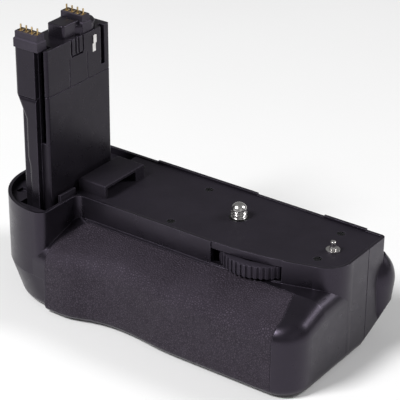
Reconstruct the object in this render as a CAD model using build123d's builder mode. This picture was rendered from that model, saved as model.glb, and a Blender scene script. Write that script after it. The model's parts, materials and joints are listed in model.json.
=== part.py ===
from build123d import *
import os
from math import asin, atan2, cos, degrees, hypot, pi, radians, sin, sqrt

# Camera battery grip. Millimetres. The origin is the mouth of the tripod socket under
# the camera screw: +Z is up, +X runs along the length and +Y points to the back.

os.makedirs("parts", exist_ok=True)

# Names in _room are distances from the left end of the battery chamber to the left, and
# names in _inset are distances from there to the right, so the left end moves with it.

# Clearances and cutting
touch_gap = 0.05  # between fixed pieces that are seated on each other
slide_gap = 0.1  # around a piece that is pressed or slid
turn_gap = 0.05  # radial, between a shaft and its hole
free_gap = 0.3  # around a piece that moves past others
over = 1.0  # how far a cut runs past the surface that it opens

# Deck and body outline, seen from above
deck_height = 43.0
rim_rise = 0.5
rim_width = 1.3
lip_rise = 0.6
lip_left_inset = 17.7
lip_left_end = 4.2
lip_right = 27.0
lip_right_end = 46.0
right_edge = 54.5
left_edge_room = 21.7
deck_back = 20.0
deck_front = 23.4
grip_front = 45.4
grip_radius = 25.3
grip_wall_inset = 9.3
rear_corner_radius = 6.0
right_corner_radius = 2.0
grip_corner_radius = 4.0
grip_inside_radius = 3.0
front_bend_x = 1.0
front_bend_rise = 1.9
corner_run = 10.0
corner_front = 16.6
corner_side = 4.0
corner_rise = 3.4

# Lower front block that the fingers hold
block_right = 54.5
block_front = 43.6
swell_front = 46.4
swell_inset = 16.3
swell_end_inset = 25.8
swell_end_front = 44.6
groove_front = 41.4
block_corner_radius = 12.0
shelf_height = 34.0
shelf_run = 14.6
shelf_drop = 4.5
crown_radius = 7.0
heel_radius = 4.0
heel_start = 2.0  # the slanted heel at the back right corner
heel_rise = 9.0
heel_run = 4.2
heel_size = 40.0
block_back = 16.0
block_side_step = 4.1

# Shells
wall = 2.4
floor_wall = 3.0
seam_y = 7.0
seam_groove = 0.35
deck_thickness = 2.4
well_depth = 2.5
well_thickness = 2.5
well_edge_inset = 6.5
cover_seam = 15.0
cover_edge_inset = 9.8
cover_draft_x = 4.7
cover_draft_front = 2.2
cover_draft_back = 0.4
cover_wall = 1.8

# Thumb ridge at the back right corner
ridge_x = 51.0
ridge_y = 20.5
ridge_inner = 50.6
ridge_low = 4.0
ridge_heel = 9.0
ridge_crest = 28.0
ridge_high = 34.5
ridge_end_radius = 3.0
ridge_heel_radius = 5.6
ridge_crest_radius = 7.6
ridge_curve = 14.0

# Rubber
rubber_thickness = 1.2
rubber_left_top_inset = 15.3
rubber_left_front_inset = 10.7
rubber_right_top = 40.0
rubber_right_front = 44.4
rubber_turn = -1.0
rubber_start = 24.7
rubber_bottom = 2.4

# Battery cells, their magazine and its chamber
cell_length = 56.8
cell_width = 38.4
cell_thickness = 21.0
cell_radius = 1.5
cell_gap = 0.15
cell_terminal_size = 4.0
cell_terminal_pitch = 3.2
cell_terminal_depth = 0.5
tray_floor = 1.2
tray_wall = 1.2
tray_front_wall = 0.8
tray_divider = 1.6
tray_wall_height = 16.0
tray_right = 48.4
tray_run_gap = 0.2
tray_front_gap = 0.4
cell_head_gap = 0.5
cell_back_proud = 0.5
chamber_wall = 1.2
chamber_front_wall = 1.0
chamber_floor = 1.0
chamber_low = 5.6
chamber_foot_radius = 3.0

# Magazine door and its quarter-turn latch
door_thickness = 1.8
door_margin = 1.4
door_radius = 3.0
latch_radius = 7.5
latch_disc = 1.0
latch_bar_width = 2.4
latch_bar_height = 2.2
latch_shaft_radius = 2.5
cam_thickness = 1.0
cam_width = 5.0
cam_reach = 13.2
cam_room = 7.4
latch_screw_radius = 1.6

# Bottom plate and tripod socket
bottom_left_inset = 17.3
bottom_right = 43.0
bottom_front = 33.0
bottom_back = 13.0
bottom_thickness = 1.6
bottom_radius = 2.5
bottom_ledge = 3.5
socket_thread_radius = 3.175
socket_radius = 5.2
socket_flange_radius = 8.0
socket_flange = 1.2
socket_height = 5.4
tripod_plate_length = 46.0
tripod_plate_width = 18.0
tripod_plate_thickness = 1.2

# Camera screw and its drive
screw_radius = 3.175
screw_pitch = 1.27
screw_thread_depth = 0.62
screw_rise = 6.3
screw_flange_radius = 3.75
screw_flange = 0.8
screw_neck_radius = 2.4
screw_dome = 1.7
screw_foot_radius = 1.5
bush_radius = 4.0
gear_module = 0.8
wheel_teeth = 30
screw_teeth = 20
tooth_addendum_share = 0.8
tooth_dedendum_share = 1.05
tooth_root_share = 0.62
tooth_tip_share = 0.26
gear_width = 2.8
gear_floor_gap = 0.9
wheel_radius = 17.0
wheel_front = 26.0
wheel_rib_depth = 0.6
wheel_rib_count = 48
wheel_ceiling_gap = 0.5
wheel_gear_gap = 0.6
wheel_hub_radius = 6.0
wheel_dish_depth = 1.4
wheel_rim_width = 4.0
wheel_axle_radius = 2.5
window_left = 3.0
window_right = 33.0
window_floor_gap = 0.6
window_step = 0.5  # how far the rim stands back along the window

# Locating pin
pin_x = 43.7
pin_y = -1.3
pin_radius = 1.1
pin_shank_radius = 1.4
pin_shank_rise = 1.4
pin_cone = 0.6
pin_rise = 4.3
pin_tip_radius = 0.5
pin_travel = 3.0
pin_shoulder_radius = 1.6
pin_shoulder = 1.0
pin_stem_radius = 0.6
pin_bush_radius = 2.2
pin_flange_radius = 2.75
pin_flange = 0.8
pin_spring_wire = 0.3
pin_spring_turns = 5

# Tower that goes up into the camera
tower_right_inset = 5.8
tower_left_room = 7.7
tower_front = 34.9
tower_back = 3.2
tower_height = 64.5
tower_parting = 45.4
tower_wall = 1.6
tower_edge_radius = 1.0
tower_line = 0.25
tower_flange = 1.4
tower_flange_margin = 0.9
column_front = 37.3
column_right_inset = 1.6
column_left_low_room = 4.4
column_left_high_room = 8.7
column_parting = 44.6
column_slope = 9.5
column_step_low = 15.0
column_step_high = 19.0
column_step = 0.9
tower_slot_left_inset = 1.7
tower_slot_right_inset = 4.3
tower_slot_depth = 4.9
tower_slot_low = 25.5
catch_front = 20.0
catch_back = 13.0
catch_low = 58.0
catch_depth = 1.0
catch_slit = 0.9
rear_groove_front = 2.3
rear_groove_low = 48.5
rear_groove_depth = 2.4
face_line_width = 0.4
face_line_depth = 0.3
face_line_front = 21.2
face_line_back = 10.4
tongue_front = 7.2
tongue_back = 5.4
tongue_low = 55.5
tongue_high = 62.5
tongue_thickness = 0.5
top_block_front = 16.6
top_block_rise = 3.6
top_block_radius = 6.0
top_block_inset = 0.6
top_step_front = 22.0
top_step_left_room = 4.7
top_step_right_inset = 3.4
top_step_rise = 5.5
top_step_radius = 1.2

# Contact blocks, pins and pads on the tower
contact_left_room = 8.0
contact_right_inset = 3.8
contact_depth = 5.4
front_contact_y = -35.1
rear_contact_y = -9.7
rear_contact_shift = 1.4
contact_rise = 6.6
contact_step = 0.5
contact_step_height = 2.6
contact_chamfer = 0.4
contact_pocket = 0.5
contact_rim = 0.5
contact_count = 4
contact_pitch = 2.75
contact_pin_radius = 0.35
contact_pin_rise = 2.2
contact_pin_length = 6.0
contact_pin_travel = 1.5
contact_pad_width = 1.3
contact_pad_thickness = 0.3

# Battery cover holder on the deck
holder_right_inset = 20.3
holder_left_inset = 6.9
holder_front = 19.3
holder_back = 6.0
holder_rise = 5.6
holder_roof = 1.3
holder_wall = 1.4
holder_slot_back = 0.4
rail_left_inset = 6.7
rail_right_inset = 7.9
rail_front = 32.0
rail_back = 21.4
rail_height = 3.0
rail_foot = 1.2
rail_foot_width = 2.6

# Shutter button in the control cover
shutter_y = -21.0
shutter_z = 7.6
shutter_radius = 4.3
shutter_rise = 1.2
shutter_dome = 0.6
shutter_cap = 2.6
shutter_bezel_radius = 6.2
shutter_bezel_rise = 0.7
shutter_bezel_depth = 2.4
shutter_stem_radius = 1.5
shutter_stem = 3.2
shutter_travel = 1.4
shutter_switch_size = 6.0
shutter_switch_height = 2.0
shutter_board_length = 19.0
shutter_board_width = 9.0
board_thickness = 1.2
shutter_post_radius = 1.6
shutter_post_spread = 8.0
shutter_spring_wire = 0.3
shutter_spring_turns = 4
shutter_spring_radius = 2.2

# Main dial behind the shutter button
dial_y = -4.0
dial_radius = 6.3
dial_width = 5.6
dial_proud = 1.6
dial_rib_count = 30
dial_rib_depth = 0.4
dial_slot_gap = 0.5
dial_axle_radius = 1.2
dial_cheek = 1.2
dial_cheek_height = 5.0
dial_cheek_front = 1.9
dial_base = 1.3

# Buttons, power switch and board at the back left
small_button_radius = 2.7
small_button_z = 32.0
small_button_left_room = 12.3
small_button_right_room = 4.9
start_button_radius = 3.3
start_button_z = 23.6
start_button_room = 8.6
button_rise = 0.9
button_flange = 0.8
button_flange_margin = 0.7
button_travel = 0.8
button_stem = 0.9
dome_height = 1.2
dome_radius = 1.8
button_board_left_room = 16.7
button_board_right_room = 1.3
button_board_low = 18.4
button_board_high = 37.0
board_post_radius = 1.4
board_post_margin = 1.8
power_room = 8.6
power_z = 10.0
power_radius = 5.0
power_disc = 1.3
power_lever_width = 2.4
power_lever_length = 6.6
power_lever_height = 1.3
power_shaft_radius = 1.8
power_clip_radius = 3.2
power_clip = 0.9

# Main circuit board and the ribbon up the tower
main_board_z = 20.5
main_board_left_room = 16.7
main_board_right_room = 0.9
main_board_front = 37.0
main_board_back = 9.0
main_board_corner = 8.0
board_chip_height = 1.2
board_chip_size = 7.0
hanger_radius = 2.0
hanger_room = 12.2
hanger_front = 27.0
hanger_back = 3.0
ribbon_room = 2.9
ribbon_width = 9.0
ribbon_thickness = 0.3
ribbon_y = -19.0

# Power contacts between the magazine and the body
power_contact_z = 18.0
power_contact_count = 3
power_contact_pitch = 4.0
power_pad_width = 2.4
power_pad_height = 8.0
power_pad_thickness = 0.15
power_block_length = 14.0
power_block_height = 11.0
power_block_depth = 3.4
power_tip_radius = 0.8

# Screws
deck_screw_radius = 0.8
deck_screw_head = 1.7
deck_screw_head_depth = 0.9
deck_screw_length = 7.0
deck_screw_back = 12.2
deck_screw_front = 18.4
deck_screw_corner = 9.6
deck_screw_left_inset = 14.3
deck_screw_middle = 22.8
deck_screw_inner = 19.3
deck_screw_right = 39.0
deck_screw_far = 42.2
bottom_screw_inset = 2.0
shell_screw_left_inset = 12.9
shell_screw_right = 46.9
cover_screw_left_inset = 5.3
shell_screw_front = 16.0
shell_screw_back = 12.6
deck_post_radius = 2.3
small_screw_radius = 0.8
small_screw_head = 1.5
small_screw_head_depth = 0.5
drive_slot_width = 0.5
drive_slot_depth = 0.4

# Values that follow from those above
rim_top = deck_height + rim_rise
deck_low = deck_height - deck_thickness
well_top = deck_height - well_depth
well_low = well_top - well_thickness
grip_y = grip_radius - grip_front
tray_low = chamber_low + chamber_floor + tray_run_gap
cell_low = tray_low + tray_floor + slide_gap
cell_top = cell_low + cell_thickness
bay_top = cell_top + cell_head_gap
ceiling_top = bay_top + chamber_wall
tray_length = 2 * cell_length + 2 * tray_wall + tray_divider + 4 * cell_gap
tray_left = tray_right - tray_length
tray_middle = (tray_left + tray_right) / 2
bay_left = tray_left - free_gap
bay_right = tray_right + free_gap
inner_back = deck_back - wall
cell_back = inner_back + cell_back_proud
cell_front = cell_back - cell_width
tray_front = cell_front - slide_gap - tray_front_wall
bay_front = tray_front - tray_front_gap
bay_low = chamber_low + chamber_floor
chamber_left = bay_left - chamber_wall
chamber_end = -chamber_left
left_edge = chamber_end + left_edge_room
grip_wall = chamber_end - grip_wall_inset
swell_x = chamber_end - swell_inset
swell_end_x = chamber_end - swell_end_inset
well_edge = chamber_end - well_edge_inset
cover_edge = chamber_end - cover_edge_inset
lip_left = chamber_end - lip_left_inset
rubber_left_top = chamber_end - rubber_left_top_inset
rubber_left_front = chamber_end - rubber_left_front_inset
bottom_left = chamber_end - bottom_left_inset
tower_right = chamber_end - tower_right_inset
tower_left = chamber_end + tower_left_room
column_right = chamber_end - column_right_inset
column_left_low = chamber_end + column_left_low_room
column_left_high = chamber_end + column_left_high_room
tower_slot_left = chamber_end - tower_slot_left_inset
tower_slot_right = chamber_end - tower_slot_right_inset
top_step_left = chamber_end + top_step_left_room
top_step_right = chamber_end - top_step_right_inset
contact_left = chamber_end + contact_left_room
contact_right = chamber_end - contact_right_inset
holder_right = chamber_end - holder_right_inset
holder_left = chamber_end - holder_left_inset
rail_left = chamber_end - rail_left_inset
rail_right = chamber_end - rail_right_inset
small_button_left = chamber_end + small_button_left_room
small_button_right = chamber_end + small_button_right_room
start_button_x = chamber_end + start_button_room
button_board_left = chamber_end + button_board_left_room
button_board_right = chamber_end + button_board_right_room
power_x = chamber_end + power_room
main_board_left = chamber_end + main_board_left_room
main_board_right = chamber_end + main_board_right_room
hanger_x = chamber_end + hanger_room
ribbon_x = chamber_end + ribbon_room
deck_screw_left = chamber_end - deck_screw_left_inset
shell_screw_left = chamber_end - shell_screw_left_inset
cover_screw_left = chamber_end - cover_screw_left_inset
grip_x = grip_radius - left_edge
power_contact_x = tray_middle
chamber_right = bay_right + chamber_wall
chamber_front = bay_front - chamber_front_wall
chamber_back = inner_back - touch_gap
gear_low = ceiling_top + gear_floor_gap
gear_top = gear_low + gear_width
wheel_low = gear_top + wheel_gear_gap
wheel_top = deck_low - wheel_ceiling_gap
gear_distance = gear_module * (wheel_teeth + screw_teeth) / 2
wheel_y = wheel_radius - wheel_front
wheel_x = sqrt(gear_distance**2 - wheel_y**2)
body_span = left_edge + right_edge
swell_slope = (swell_front - swell_end_front) / (swell_x - swell_end_x)
groove_x = swell_end_x - (swell_end_front - groove_front) / swell_slope


def brick(low, high, mode=Mode.ADD):
    """A box in the part being built, from its lowest corner to its highest one."""
    size = [b - a for a, b in zip(low, high)]
    middle = [(a + b) / 2 for a, b in zip(low, high)]
    with Locations(tuple(middle)):
        Box(*size, mode=mode)


def rod(x, y, low, high, radius, mode=Mode.ADD):
    """An upright rod in the part being built."""
    with Locations((x, y, (low + high) / 2)):
        Cylinder(radius, high - low, mode=mode)


def rod_back(x, z, front, back, radius, mode=Mode.ADD):
    """A rod that runs from front to back in the part being built."""
    with Locations((x, (front + back) / 2, z)):
        Cylinder(radius, back - front, rotation=(90, 0, 0), mode=mode)


def at(sketch, x, y):
    """The sketch's corners that lie at x, y."""
    return sketch.vertices().filter_by(lambda v: hypot(v.X - x, v.Y - y) < touch_gap)


def upright(part, x, y):
    """The part's upright edges that stand at x, y."""
    edges = part.edges().filter_by(Axis.Z)
    return edges.filter_by(lambda e: hypot(e.center().X - x, e.center().Y - y) < touch_gap)


def deck_plan(height, inset):
    """The outline of the deck with the bulge for the hand grip, drawn inside by inset."""
    with BuildSketch(Plane.XY.offset(height)) as plan:
        with BuildLine():
            back = Line((right_edge, deck_back), (-left_edge, deck_back))
            left = Line(back @ 1, (-left_edge, grip_y))
            bulge = CenterArc((grip_x, grip_y), grip_radius, 180, 90)
            front = Line(bulge @ 1, (-grip_wall, -grip_front))
            inside = Line(front @ 1, (-grip_wall, -deck_front))
            middle = Line(inside @ 1, (front_bend_x, -deck_front))
            bend = SagittaArc(middle @ 1, (right_edge - corner_run, -corner_front), -front_bend_rise)
            corner = SagittaArc(bend @ 1, (right_edge, -corner_side), -corner_rise)
            Line(corner @ 1, back @ 0)
        make_face()
        fillet(at(plan, -left_edge, deck_back), rear_corner_radius)
        fillet(at(plan, right_edge, deck_back), right_corner_radius)
        fillet(at(plan, -grip_wall, -grip_front), grip_corner_radius)
        fillet(at(plan, -grip_wall, -deck_front), grip_inside_radius)
        if inset:
            offset(amount=-inset, kind=Kind.INTERSECTION)
    return plan.sketch


def deck_prism(low, high, inset):
    """The deck outline, raised from low to high."""
    with BuildPart() as prism:
        add(deck_plan(low, inset))
        extrude(amount=high - low)
    return prism.part


def front_block(inset):
    """The swelling front block with its sloped shelf and finger groove, inside by inset."""
    side = block_right - block_side_step
    reach = 2 * block_front
    start = shelf_height - inset
    with BuildPart() as block:
        with BuildSketch(Plane.XY.offset(inset)) as plan:
            with BuildLine():
                top = (-swell_x, -swell_front)
                left = TangentArc(top, (grip_x, -grip_front), tangent=(-1, 0))
                swell = TangentArc(top, (-swell_end_x, -swell_end_front), tangent=(1, 0))
                groove = TangentArc(swell @ 1, (-groove_x, -groove_front), tangent=swell % 1)
                rise = (-groove_x / 2, -(groove_front + block_front) / 2)
                out = TangentArc(groove @ 1, rise, tangent=(1, 0))
                level = TangentArc(out @ 1, (0, -block_front), tangent=out % 1)
                front = Line(level @ 1, (block_right, -block_front))
                right = Line(front @ 1, (block_right, seam_y))
                step = Line(right @ 1, (side, seam_y))
                inner = Line(step @ 1, (side, block_back))
                back = Line(inner @ 1, (grip_x, block_back))
                Line(back @ 1, left @ 1)
            make_face()
            fillet(at(plan, block_right, -block_front), block_corner_radius)
            if inset:
                offset(amount=-inset)
        extrude(amount=shelf_height - 2 * inset)
        with BuildSketch(Plane.YZ.offset(-left_edge)):
            with BuildLine():
                Polyline(
                    (-deck_front, start),
                    (-deck_front - reach, start - reach * shelf_drop / shelf_run),
                    (-deck_front - reach, start + reach),
                    (-deck_front, start + reach),
                    close=True,
                )
            make_face()
        extrude(amount=2 * body_span, mode=Mode.SUBTRACT)
        inner_x = grip_x + inset + over
        tops = block.faces().filter_by(lambda f: f.normal_at().Z > 0.1)
        walls = block.faces().filter_by(lambda f: abs(f.normal_at().Z) < 0.01)
        crown = (tops.edges() & walls.edges()).filter_by(lambda e: e.center().X > inner_x)
        crown = crown.filter_by(lambda e: e.center().Y < seam_y - inset - over)
        crown = crown.filter_by(lambda e: e.center().Y < -deck_front - over or e.center().X > side)
        fillet(crown, crown_radius - inset)
        base = block.faces().sort_by(Axis.Z)[0].edges().filter_by(lambda e: e.center().X > inner_x)
        fillet(base.filter_by(lambda e: e.center().Y < seam_y - inset - over), heel_radius - inset)
    return block.part


def heel_cut(inset):
    """Take off what is under the slanted heel at the back right corner, moved inside by inset."""
    start = Vector(right_edge, -heel_start, 0)
    across = Vector(right_edge, deck_back, heel_rise) - start
    along = Vector(right_edge - heel_run, deck_back, 0) - start
    size = 2 * heel_size
    with Locations(Plane(origin=start, z_dir=along.cross(across)).offset(-inset)):
        Box(size, size, size, align=(Align.CENTER, Align.CENTER, Align.MIN), mode=Mode.SUBTRACT)


def control_plan(height, inset, edge):
    """The left end of the outline, which draws in below the seam, open to edge on its right."""
    draft = 1 - height / cover_seam
    left = -left_edge + cover_draft_x * draft
    front = -grip_front + cover_draft_front * draft
    back = deck_back - cover_draft_back * draft
    with BuildSketch(Plane.XY.offset(height)) as plan:
        with BuildLine():
            right = Line((edge, front), (edge, back))
            rear = Line(right @ 1, (left + rear_corner_radius, back))
            middle = (left + rear_corner_radius, back - rear_corner_radius)
            CenterArc(middle, rear_corner_radius, 90, 90)
            Line((left, middle[1]), (left, front + grip_radius))
            bulge = CenterArc((left + grip_radius, front + grip_radius), grip_radius, 180, 90)
            Line(bulge @ 1, right @ 0)
        make_face()
        if inset:
            offset(amount=-inset, kind=Kind.INTERSECTION)
    return plan.sketch


def control_form(inset, edge):
    """The drafted left end below the seam, from its bottom up to the seam."""
    with BuildPart() as form:
        add(control_plan(inset, inset, edge))
        add(control_plan(cover_seam, inset, edge))
        loft(ruled=True)
    return form.part


def shell_form():
    """The outside of the body above the control cover."""
    with BuildPart() as prism:
        add(deck_prism(0, rim_top, 0))
        base = prism.faces().sort_by(Axis.Z)[0].edges()
        back = base.filter_by(lambda e: e.center().Y > deck_back - over)
        side = base.filter_by(lambda e: e.center().X > right_edge - over)
        fillet(back + side, heel_radius)
    with BuildPart() as form:
        add(prism.part)
        heel_low = (block_right - block_side_step, -body_span, -over)
        brick(heel_low, (body_span, seam_y, heel_radius), Mode.SUBTRACT)
        add(front_block(0))
        low = (-left_edge - over, -swell_front - over, -over)
        brick(low, (-cover_edge, deck_back + over, cover_seam), Mode.SUBTRACT)
        heel_cut(0)
    return form.part


def hollow_form():
    """The space inside the body."""
    with BuildPart() as form:
        add(deck_prism(floor_wall, deck_low, wall))
        add(front_block(wall))
        heel_cut(wall)
    return form.part


def well_cut(low, high, gap, mode=Mode.SUBTRACT):
    """The boxes that part the grip well from the deck, grown by gap."""
    side = -grip_wall + over
    brick((-left_edge - over, -grip_front - over, low), (-well_edge + gap, deck_back + over, high), mode)
    corner = (-well_edge - over, -grip_front - over, low)
    brick(corner, (side, -deck_front + rim_width + gap, high), mode)


def well_prism(low, high, inset, gap):
    """The part of the deck outline that is the grip well."""
    with BuildPart() as cut:
        well_cut(low, high, gap, Mode.ADD)
    with BuildPart() as prism:
        add(deck_prism(low, high, inset))
        add(cut.part, mode=Mode.INTERSECT)
    return prism.part


def rubber_zone(gap):
    """The part of the front block that the rubber covers, seen from above and grown by gap."""
    deep = block_front + 2 * crown_radius
    with BuildPart() as zone:
        with BuildSketch(Plane.XY.offset(rubber_bottom - gap)):
            with BuildLine():
                Polyline(
                    (-rubber_left_top - gap, -rubber_start + gap),
                    (rubber_turn, -rubber_start + gap),
                    (rubber_right_top + gap, -rubber_start + 2 * rubber_bottom + gap),
                    (rubber_right_front + gap, -block_front + crown_radius),
                    (rubber_right_front + gap, -deep),
                    (-rubber_left_front - gap, -deep),
                    (-rubber_left_front - gap, -block_front + crown_radius),
                    close=True,
                )
            make_face()
        extrude(amount=shelf_height)
        brick(
            (-body_span, -deck_front - touch_gap, shelf_height - over),
            (body_span, deck_back, shelf_height + crown_radius),
            Mode.SUBTRACT,
        )
    return zone.part


def coil_spring(x, y, low, length, radius, wire, turns):
    """A round wire spring that stands on low, with its least gap printed."""
    pitch = (length - 2 * wire) / turns
    with BuildPart() as spring:
        with BuildLine() as path:
            Helix(pitch, length - 2 * wire, radius, center=(x, y, low + wire))
        with BuildSketch(Plane(origin=path.line @ 0, z_dir=path.line % 0)):
            Circle(wire / 2)
        sweep(is_frenet=True)
    print("spring gap", round(pitch - wire, 2))
    return spring.part


def spur_gear(x, y, low, teeth, bore, first_tooth):
    """A gear with straight-sided teeth, the first of them at an angle in degrees."""
    pitch_radius = gear_module * teeth / 2
    root = pitch_radius - gear_module * tooth_dedendum_share
    tip = pitch_radius + gear_module * tooth_addendum_share
    foot = pi * gear_module * tooth_root_share / 2
    point = pi * gear_module * tooth_tip_share / 2
    with BuildPart() as gear:
        with BuildSketch(Plane.XY.offset(low)):
            with Locations((x, y)):
                Circle(root)
                with PolarLocations(0, teeth, start_angle=first_tooth):
                    flank = [(bore, foot), (root, foot), (tip, point)]
                    Polygon(*flank, *[(x, -y) for x, y in reversed(flank)], align=None)
                Circle(bore, mode=Mode.SUBTRACT)
        extrude(amount=gear_width)
    return gear.part


def ribbed_disc(place, radius, width, bore, count, depth):
    """A disc on a plane with a bore and with ribs round its rim."""
    rib = pi * radius / count
    with BuildPart() as disc:
        with BuildSketch(place):
            Circle(radius - depth)
            with PolarLocations(radius - depth, count):
                Rectangle(2 * depth, rib)
            Circle(bore, mode=Mode.SUBTRACT)
        extrude(amount=width)
    return disc.part


def slotted_screw(place, length, radius, head, head_depth):
    """A small flat screw whose head is level with the plane it is placed on."""
    with BuildPart() as screw:
        with BuildSketch(place):
            Circle(head)
        extrude(amount=-head_depth)
        with BuildSketch(place):
            Circle(radius)
        extrude(amount=-length)
        with BuildSketch(place):
            Rectangle(2 * head, drive_slot_width)
            Rectangle(drive_slot_width, 2 * head)
        extrude(amount=-drive_slot_depth, mode=Mode.SUBTRACT)
    return screw.part


def save(piece, name):
    """Label the finished piece and write its file."""
    piece.label = name
    export_step(piece, f"parts/{name}.step")


# Places that several pieces share
deck_screw_places = [
    (-deck_screw_left, deck_screw_back),
    (-deck_screw_middle, deck_screw_back),
    (-deck_screw_inner, -deck_screw_front),
    (deck_screw_right, deck_screw_back),
    (deck_screw_far, -deck_screw_corner),
]
shell_screw_places = [
    (x, y)
    for x in (-shell_screw_left, shell_screw_right, -cover_screw_left)
    for y in (-shell_screw_front, shell_screw_back)
]
bottom_middle_x = (bottom_right - bottom_left) / 2
bottom_middle_y = (bottom_back - bottom_front) / 2
bottom_length = bottom_left + bottom_right
bottom_width = bottom_front + bottom_back
bottom_screw_places = [
    (bottom_middle_x + x * (bottom_length / 2 - bottom_screw_inset), bottom_middle_y + y)
    for x in (-1, 0, 1)
    for y in (bottom_screw_inset - bottom_width / 2, bottom_width / 2 - bottom_screw_inset)
]
contact_middle_x = -(contact_left + contact_right) / 2
contact_pin_places = [
    contact_middle_x + (n - (contact_count - 1) / 2) * contact_pitch for n in range(contact_count)
]
shelf_top = deck_height + tower_height
cap_low = deck_height + tower_parting
top_block_top = shelf_top + top_block_rise
front_contact_top = shelf_top + contact_rise
rear_contact_top = front_contact_top + contact_step
latch_x = tray_middle
latch_z = (bay_low + bay_top) / 2
window_low = shelf_height + window_floor_gap
draft_angle = atan2(cover_draft_x, cover_seam)
draft_out = Vector(-cos(draft_angle), 0, -sin(draft_angle))


def left_face(y, z):
    """A point on the drafted left face of the control cover."""
    return Vector(-left_edge + cover_draft_x * (1 - z / cover_seam), y, z)


shutter_plane = Plane(left_face(shutter_y, shutter_z), x_dir=(0, 1, 0), z_dir=draft_out)
dial_place = left_face(dial_y, shutter_z) - draft_out * (dial_radius - dial_proud)

shell = shell_form()
hollow = hollow_form()


def shell_half(low_y, high_y):
    """The hollow body between two places from front to back, with the deck and floor rebates."""
    with BuildPart() as half:
        add(shell)
        add(hollow, mode=Mode.SUBTRACT)
        add(deck_prism(deck_low, rim_top + over, rim_width), mode=Mode.SUBTRACT)
        add(well_prism(well_low, rim_top + over, rim_width, 0), mode=Mode.SUBTRACT)
        with BuildSketch(Plane.XY):
            with Locations((bottom_middle_x, bottom_middle_y)):
                RectangleRounded(bottom_length, bottom_width, bottom_radius)
        extrude(amount=bottom_thickness, mode=Mode.SUBTRACT)
        with BuildSketch(Plane.XY):
            with Locations((bottom_middle_x, bottom_middle_y)):
                inner = bottom_radius / 2
                RectangleRounded(bottom_length - 2 * bottom_ledge, bottom_width - 2 * bottom_ledge, inner)
        extrude(amount=floor_wall + over, mode=Mode.SUBTRACT)
        for x, y in bottom_screw_places:
            rod(x, y, 0, floor_wall + over, small_screw_radius + touch_gap, Mode.SUBTRACT)
        for x, y in shell_screw_places:
            rod(x, y, 0, floor_wall + over, small_screw_radius + touch_gap, Mode.SUBTRACT)
            rod(x, y, -over, small_screw_head_depth, small_screw_head + touch_gap, Mode.SUBTRACT)
        brick(
            (-body_span, low_y, -over),
            (body_span, high_y, deck_height + over),
            Mode.INTERSECT,
        )
    return half.part


# The fine groove along the joint of the two shells
with BuildPart() as seam_ring:
    brick((-body_span, seam_y, -over), (body_span, seam_y + seam_groove, rim_top + over))
    add(deck_prism(seam_groove, rim_top + 2 * over, seam_groove), mode=Mode.SUBTRACT)

# The shallow bed that the rubber lies in
with BuildPart() as rubber_bed:
    add(rubber_zone(touch_gap))
    add(front_block(rubber_thickness + touch_gap), mode=Mode.SUBTRACT)

# Front shell, whose rim stands back along the window
window_back = -corner_front + over
with BuildPart() as step_cut:
    brick((window_left, -body_span, window_low), (window_right, window_back, rim_top + over))
    add(deck_prism(window_low - over, rim_top + 2 * over, window_step), mode=Mode.SUBTRACT)

with BuildPart() as front_shell:
    add(shell_half(-body_span, seam_y))
    add(step_cut.part, mode=Mode.SUBTRACT)
    window_front = -wheel_front - over
    brick((window_left, window_front, window_low), (window_right, window_back, deck_low), Mode.SUBTRACT)
    gear_room = gear_module * (wheel_teeth / 2 + 1) + free_gap
    rod(wheel_x, wheel_y, gear_low - free_gap, window_low + over, gear_room, Mode.SUBTRACT)
    add(rubber_bed.part, mode=Mode.SUBTRACT)
save(front_shell.part, "front_shell")

# Rubber over the front block
with BuildPart() as front_grip_rubber:
    add(front_block(0))
    add(front_block(rubber_thickness), mode=Mode.SUBTRACT)
    add(rubber_zone(0), mode=Mode.INTERSECT)
save(front_grip_rubber.part, "front_grip_rubber")

# Rear shell, with the magazine opening, the thumb ridge and the button holes
small_button_places = [(-small_button_left, small_button_z), (-small_button_right, small_button_z)]
button_holes = [(x, z, small_button_radius) for x, z in small_button_places]
button_holes.append((-start_button_x, start_button_z, start_button_radius))
board_posts = [
    (-button_board_left + board_post_margin, button_board_low + board_post_margin),
    (-button_board_right - board_post_margin, button_board_low + board_post_margin),
]
board_back = inner_back - button_stem - dome_height - button_travel - slide_gap - button_flange
with BuildPart() as thumb_ridge:
    with BuildSketch(Plane.XZ.offset(-ridge_y)) as thumb_ridge_plan:
        with BuildLine():
            Polyline(
                (ridge_x, ridge_low),
                (ridge_x + ridge_end_radius, ridge_low),
                (ridge_x + ridge_heel_radius, ridge_heel),
                (ridge_x + ridge_crest_radius, ridge_crest),
                (ridge_x + ridge_end_radius, ridge_high),
                (ridge_x, ridge_high),
                close=True,
            )
        make_face()
        bends = thumb_ridge_plan.vertices().filter_by(lambda v: ridge_low + over < v.Y < ridge_high - over)
        fillet(bends, ridge_curve)
    revolve(axis=Axis((ridge_x, ridge_y, 0), (0, 0, 1)))
    brick((0, 0, 0), (ridge_inner, body_span, deck_height), Mode.SUBTRACT)
    heel_cut(0)
with BuildPart() as rear_shell:
    add(shell_half(seam_y, body_span))
    for low_x, high_x in ((-lip_left, -lip_left_end), (lip_right, lip_right_end)):
        brick((low_x, deck_back - rim_width, deck_height - over), (high_x, deck_back, rim_top + lip_rise))
    add(thumb_ridge.part)
    add(hollow, mode=Mode.SUBTRACT)
    add(seam_ring.part, mode=Mode.SUBTRACT)
    brick((bay_left, seam_y, bay_low), (bay_right, deck_back + over, bay_top), Mode.SUBTRACT)
    pocket_back = deck_back - wall / 4
    brick(
        (latch_x - cam_room, inner_back - over, bay_top - over),
        (latch_x + cam_room, pocket_back, latch_z + cam_reach + free_gap),
        Mode.SUBTRACT,
    )
    for x, z in board_posts:
        rod_back(x, z, board_back, inner_back + over, board_post_radius)
    for x, z, radius in button_holes:
        rod_back(x, z, inner_back - over, deck_back + over, radius + slide_gap, Mode.SUBTRACT)
save(rear_shell.part, "rear_shell")

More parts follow.
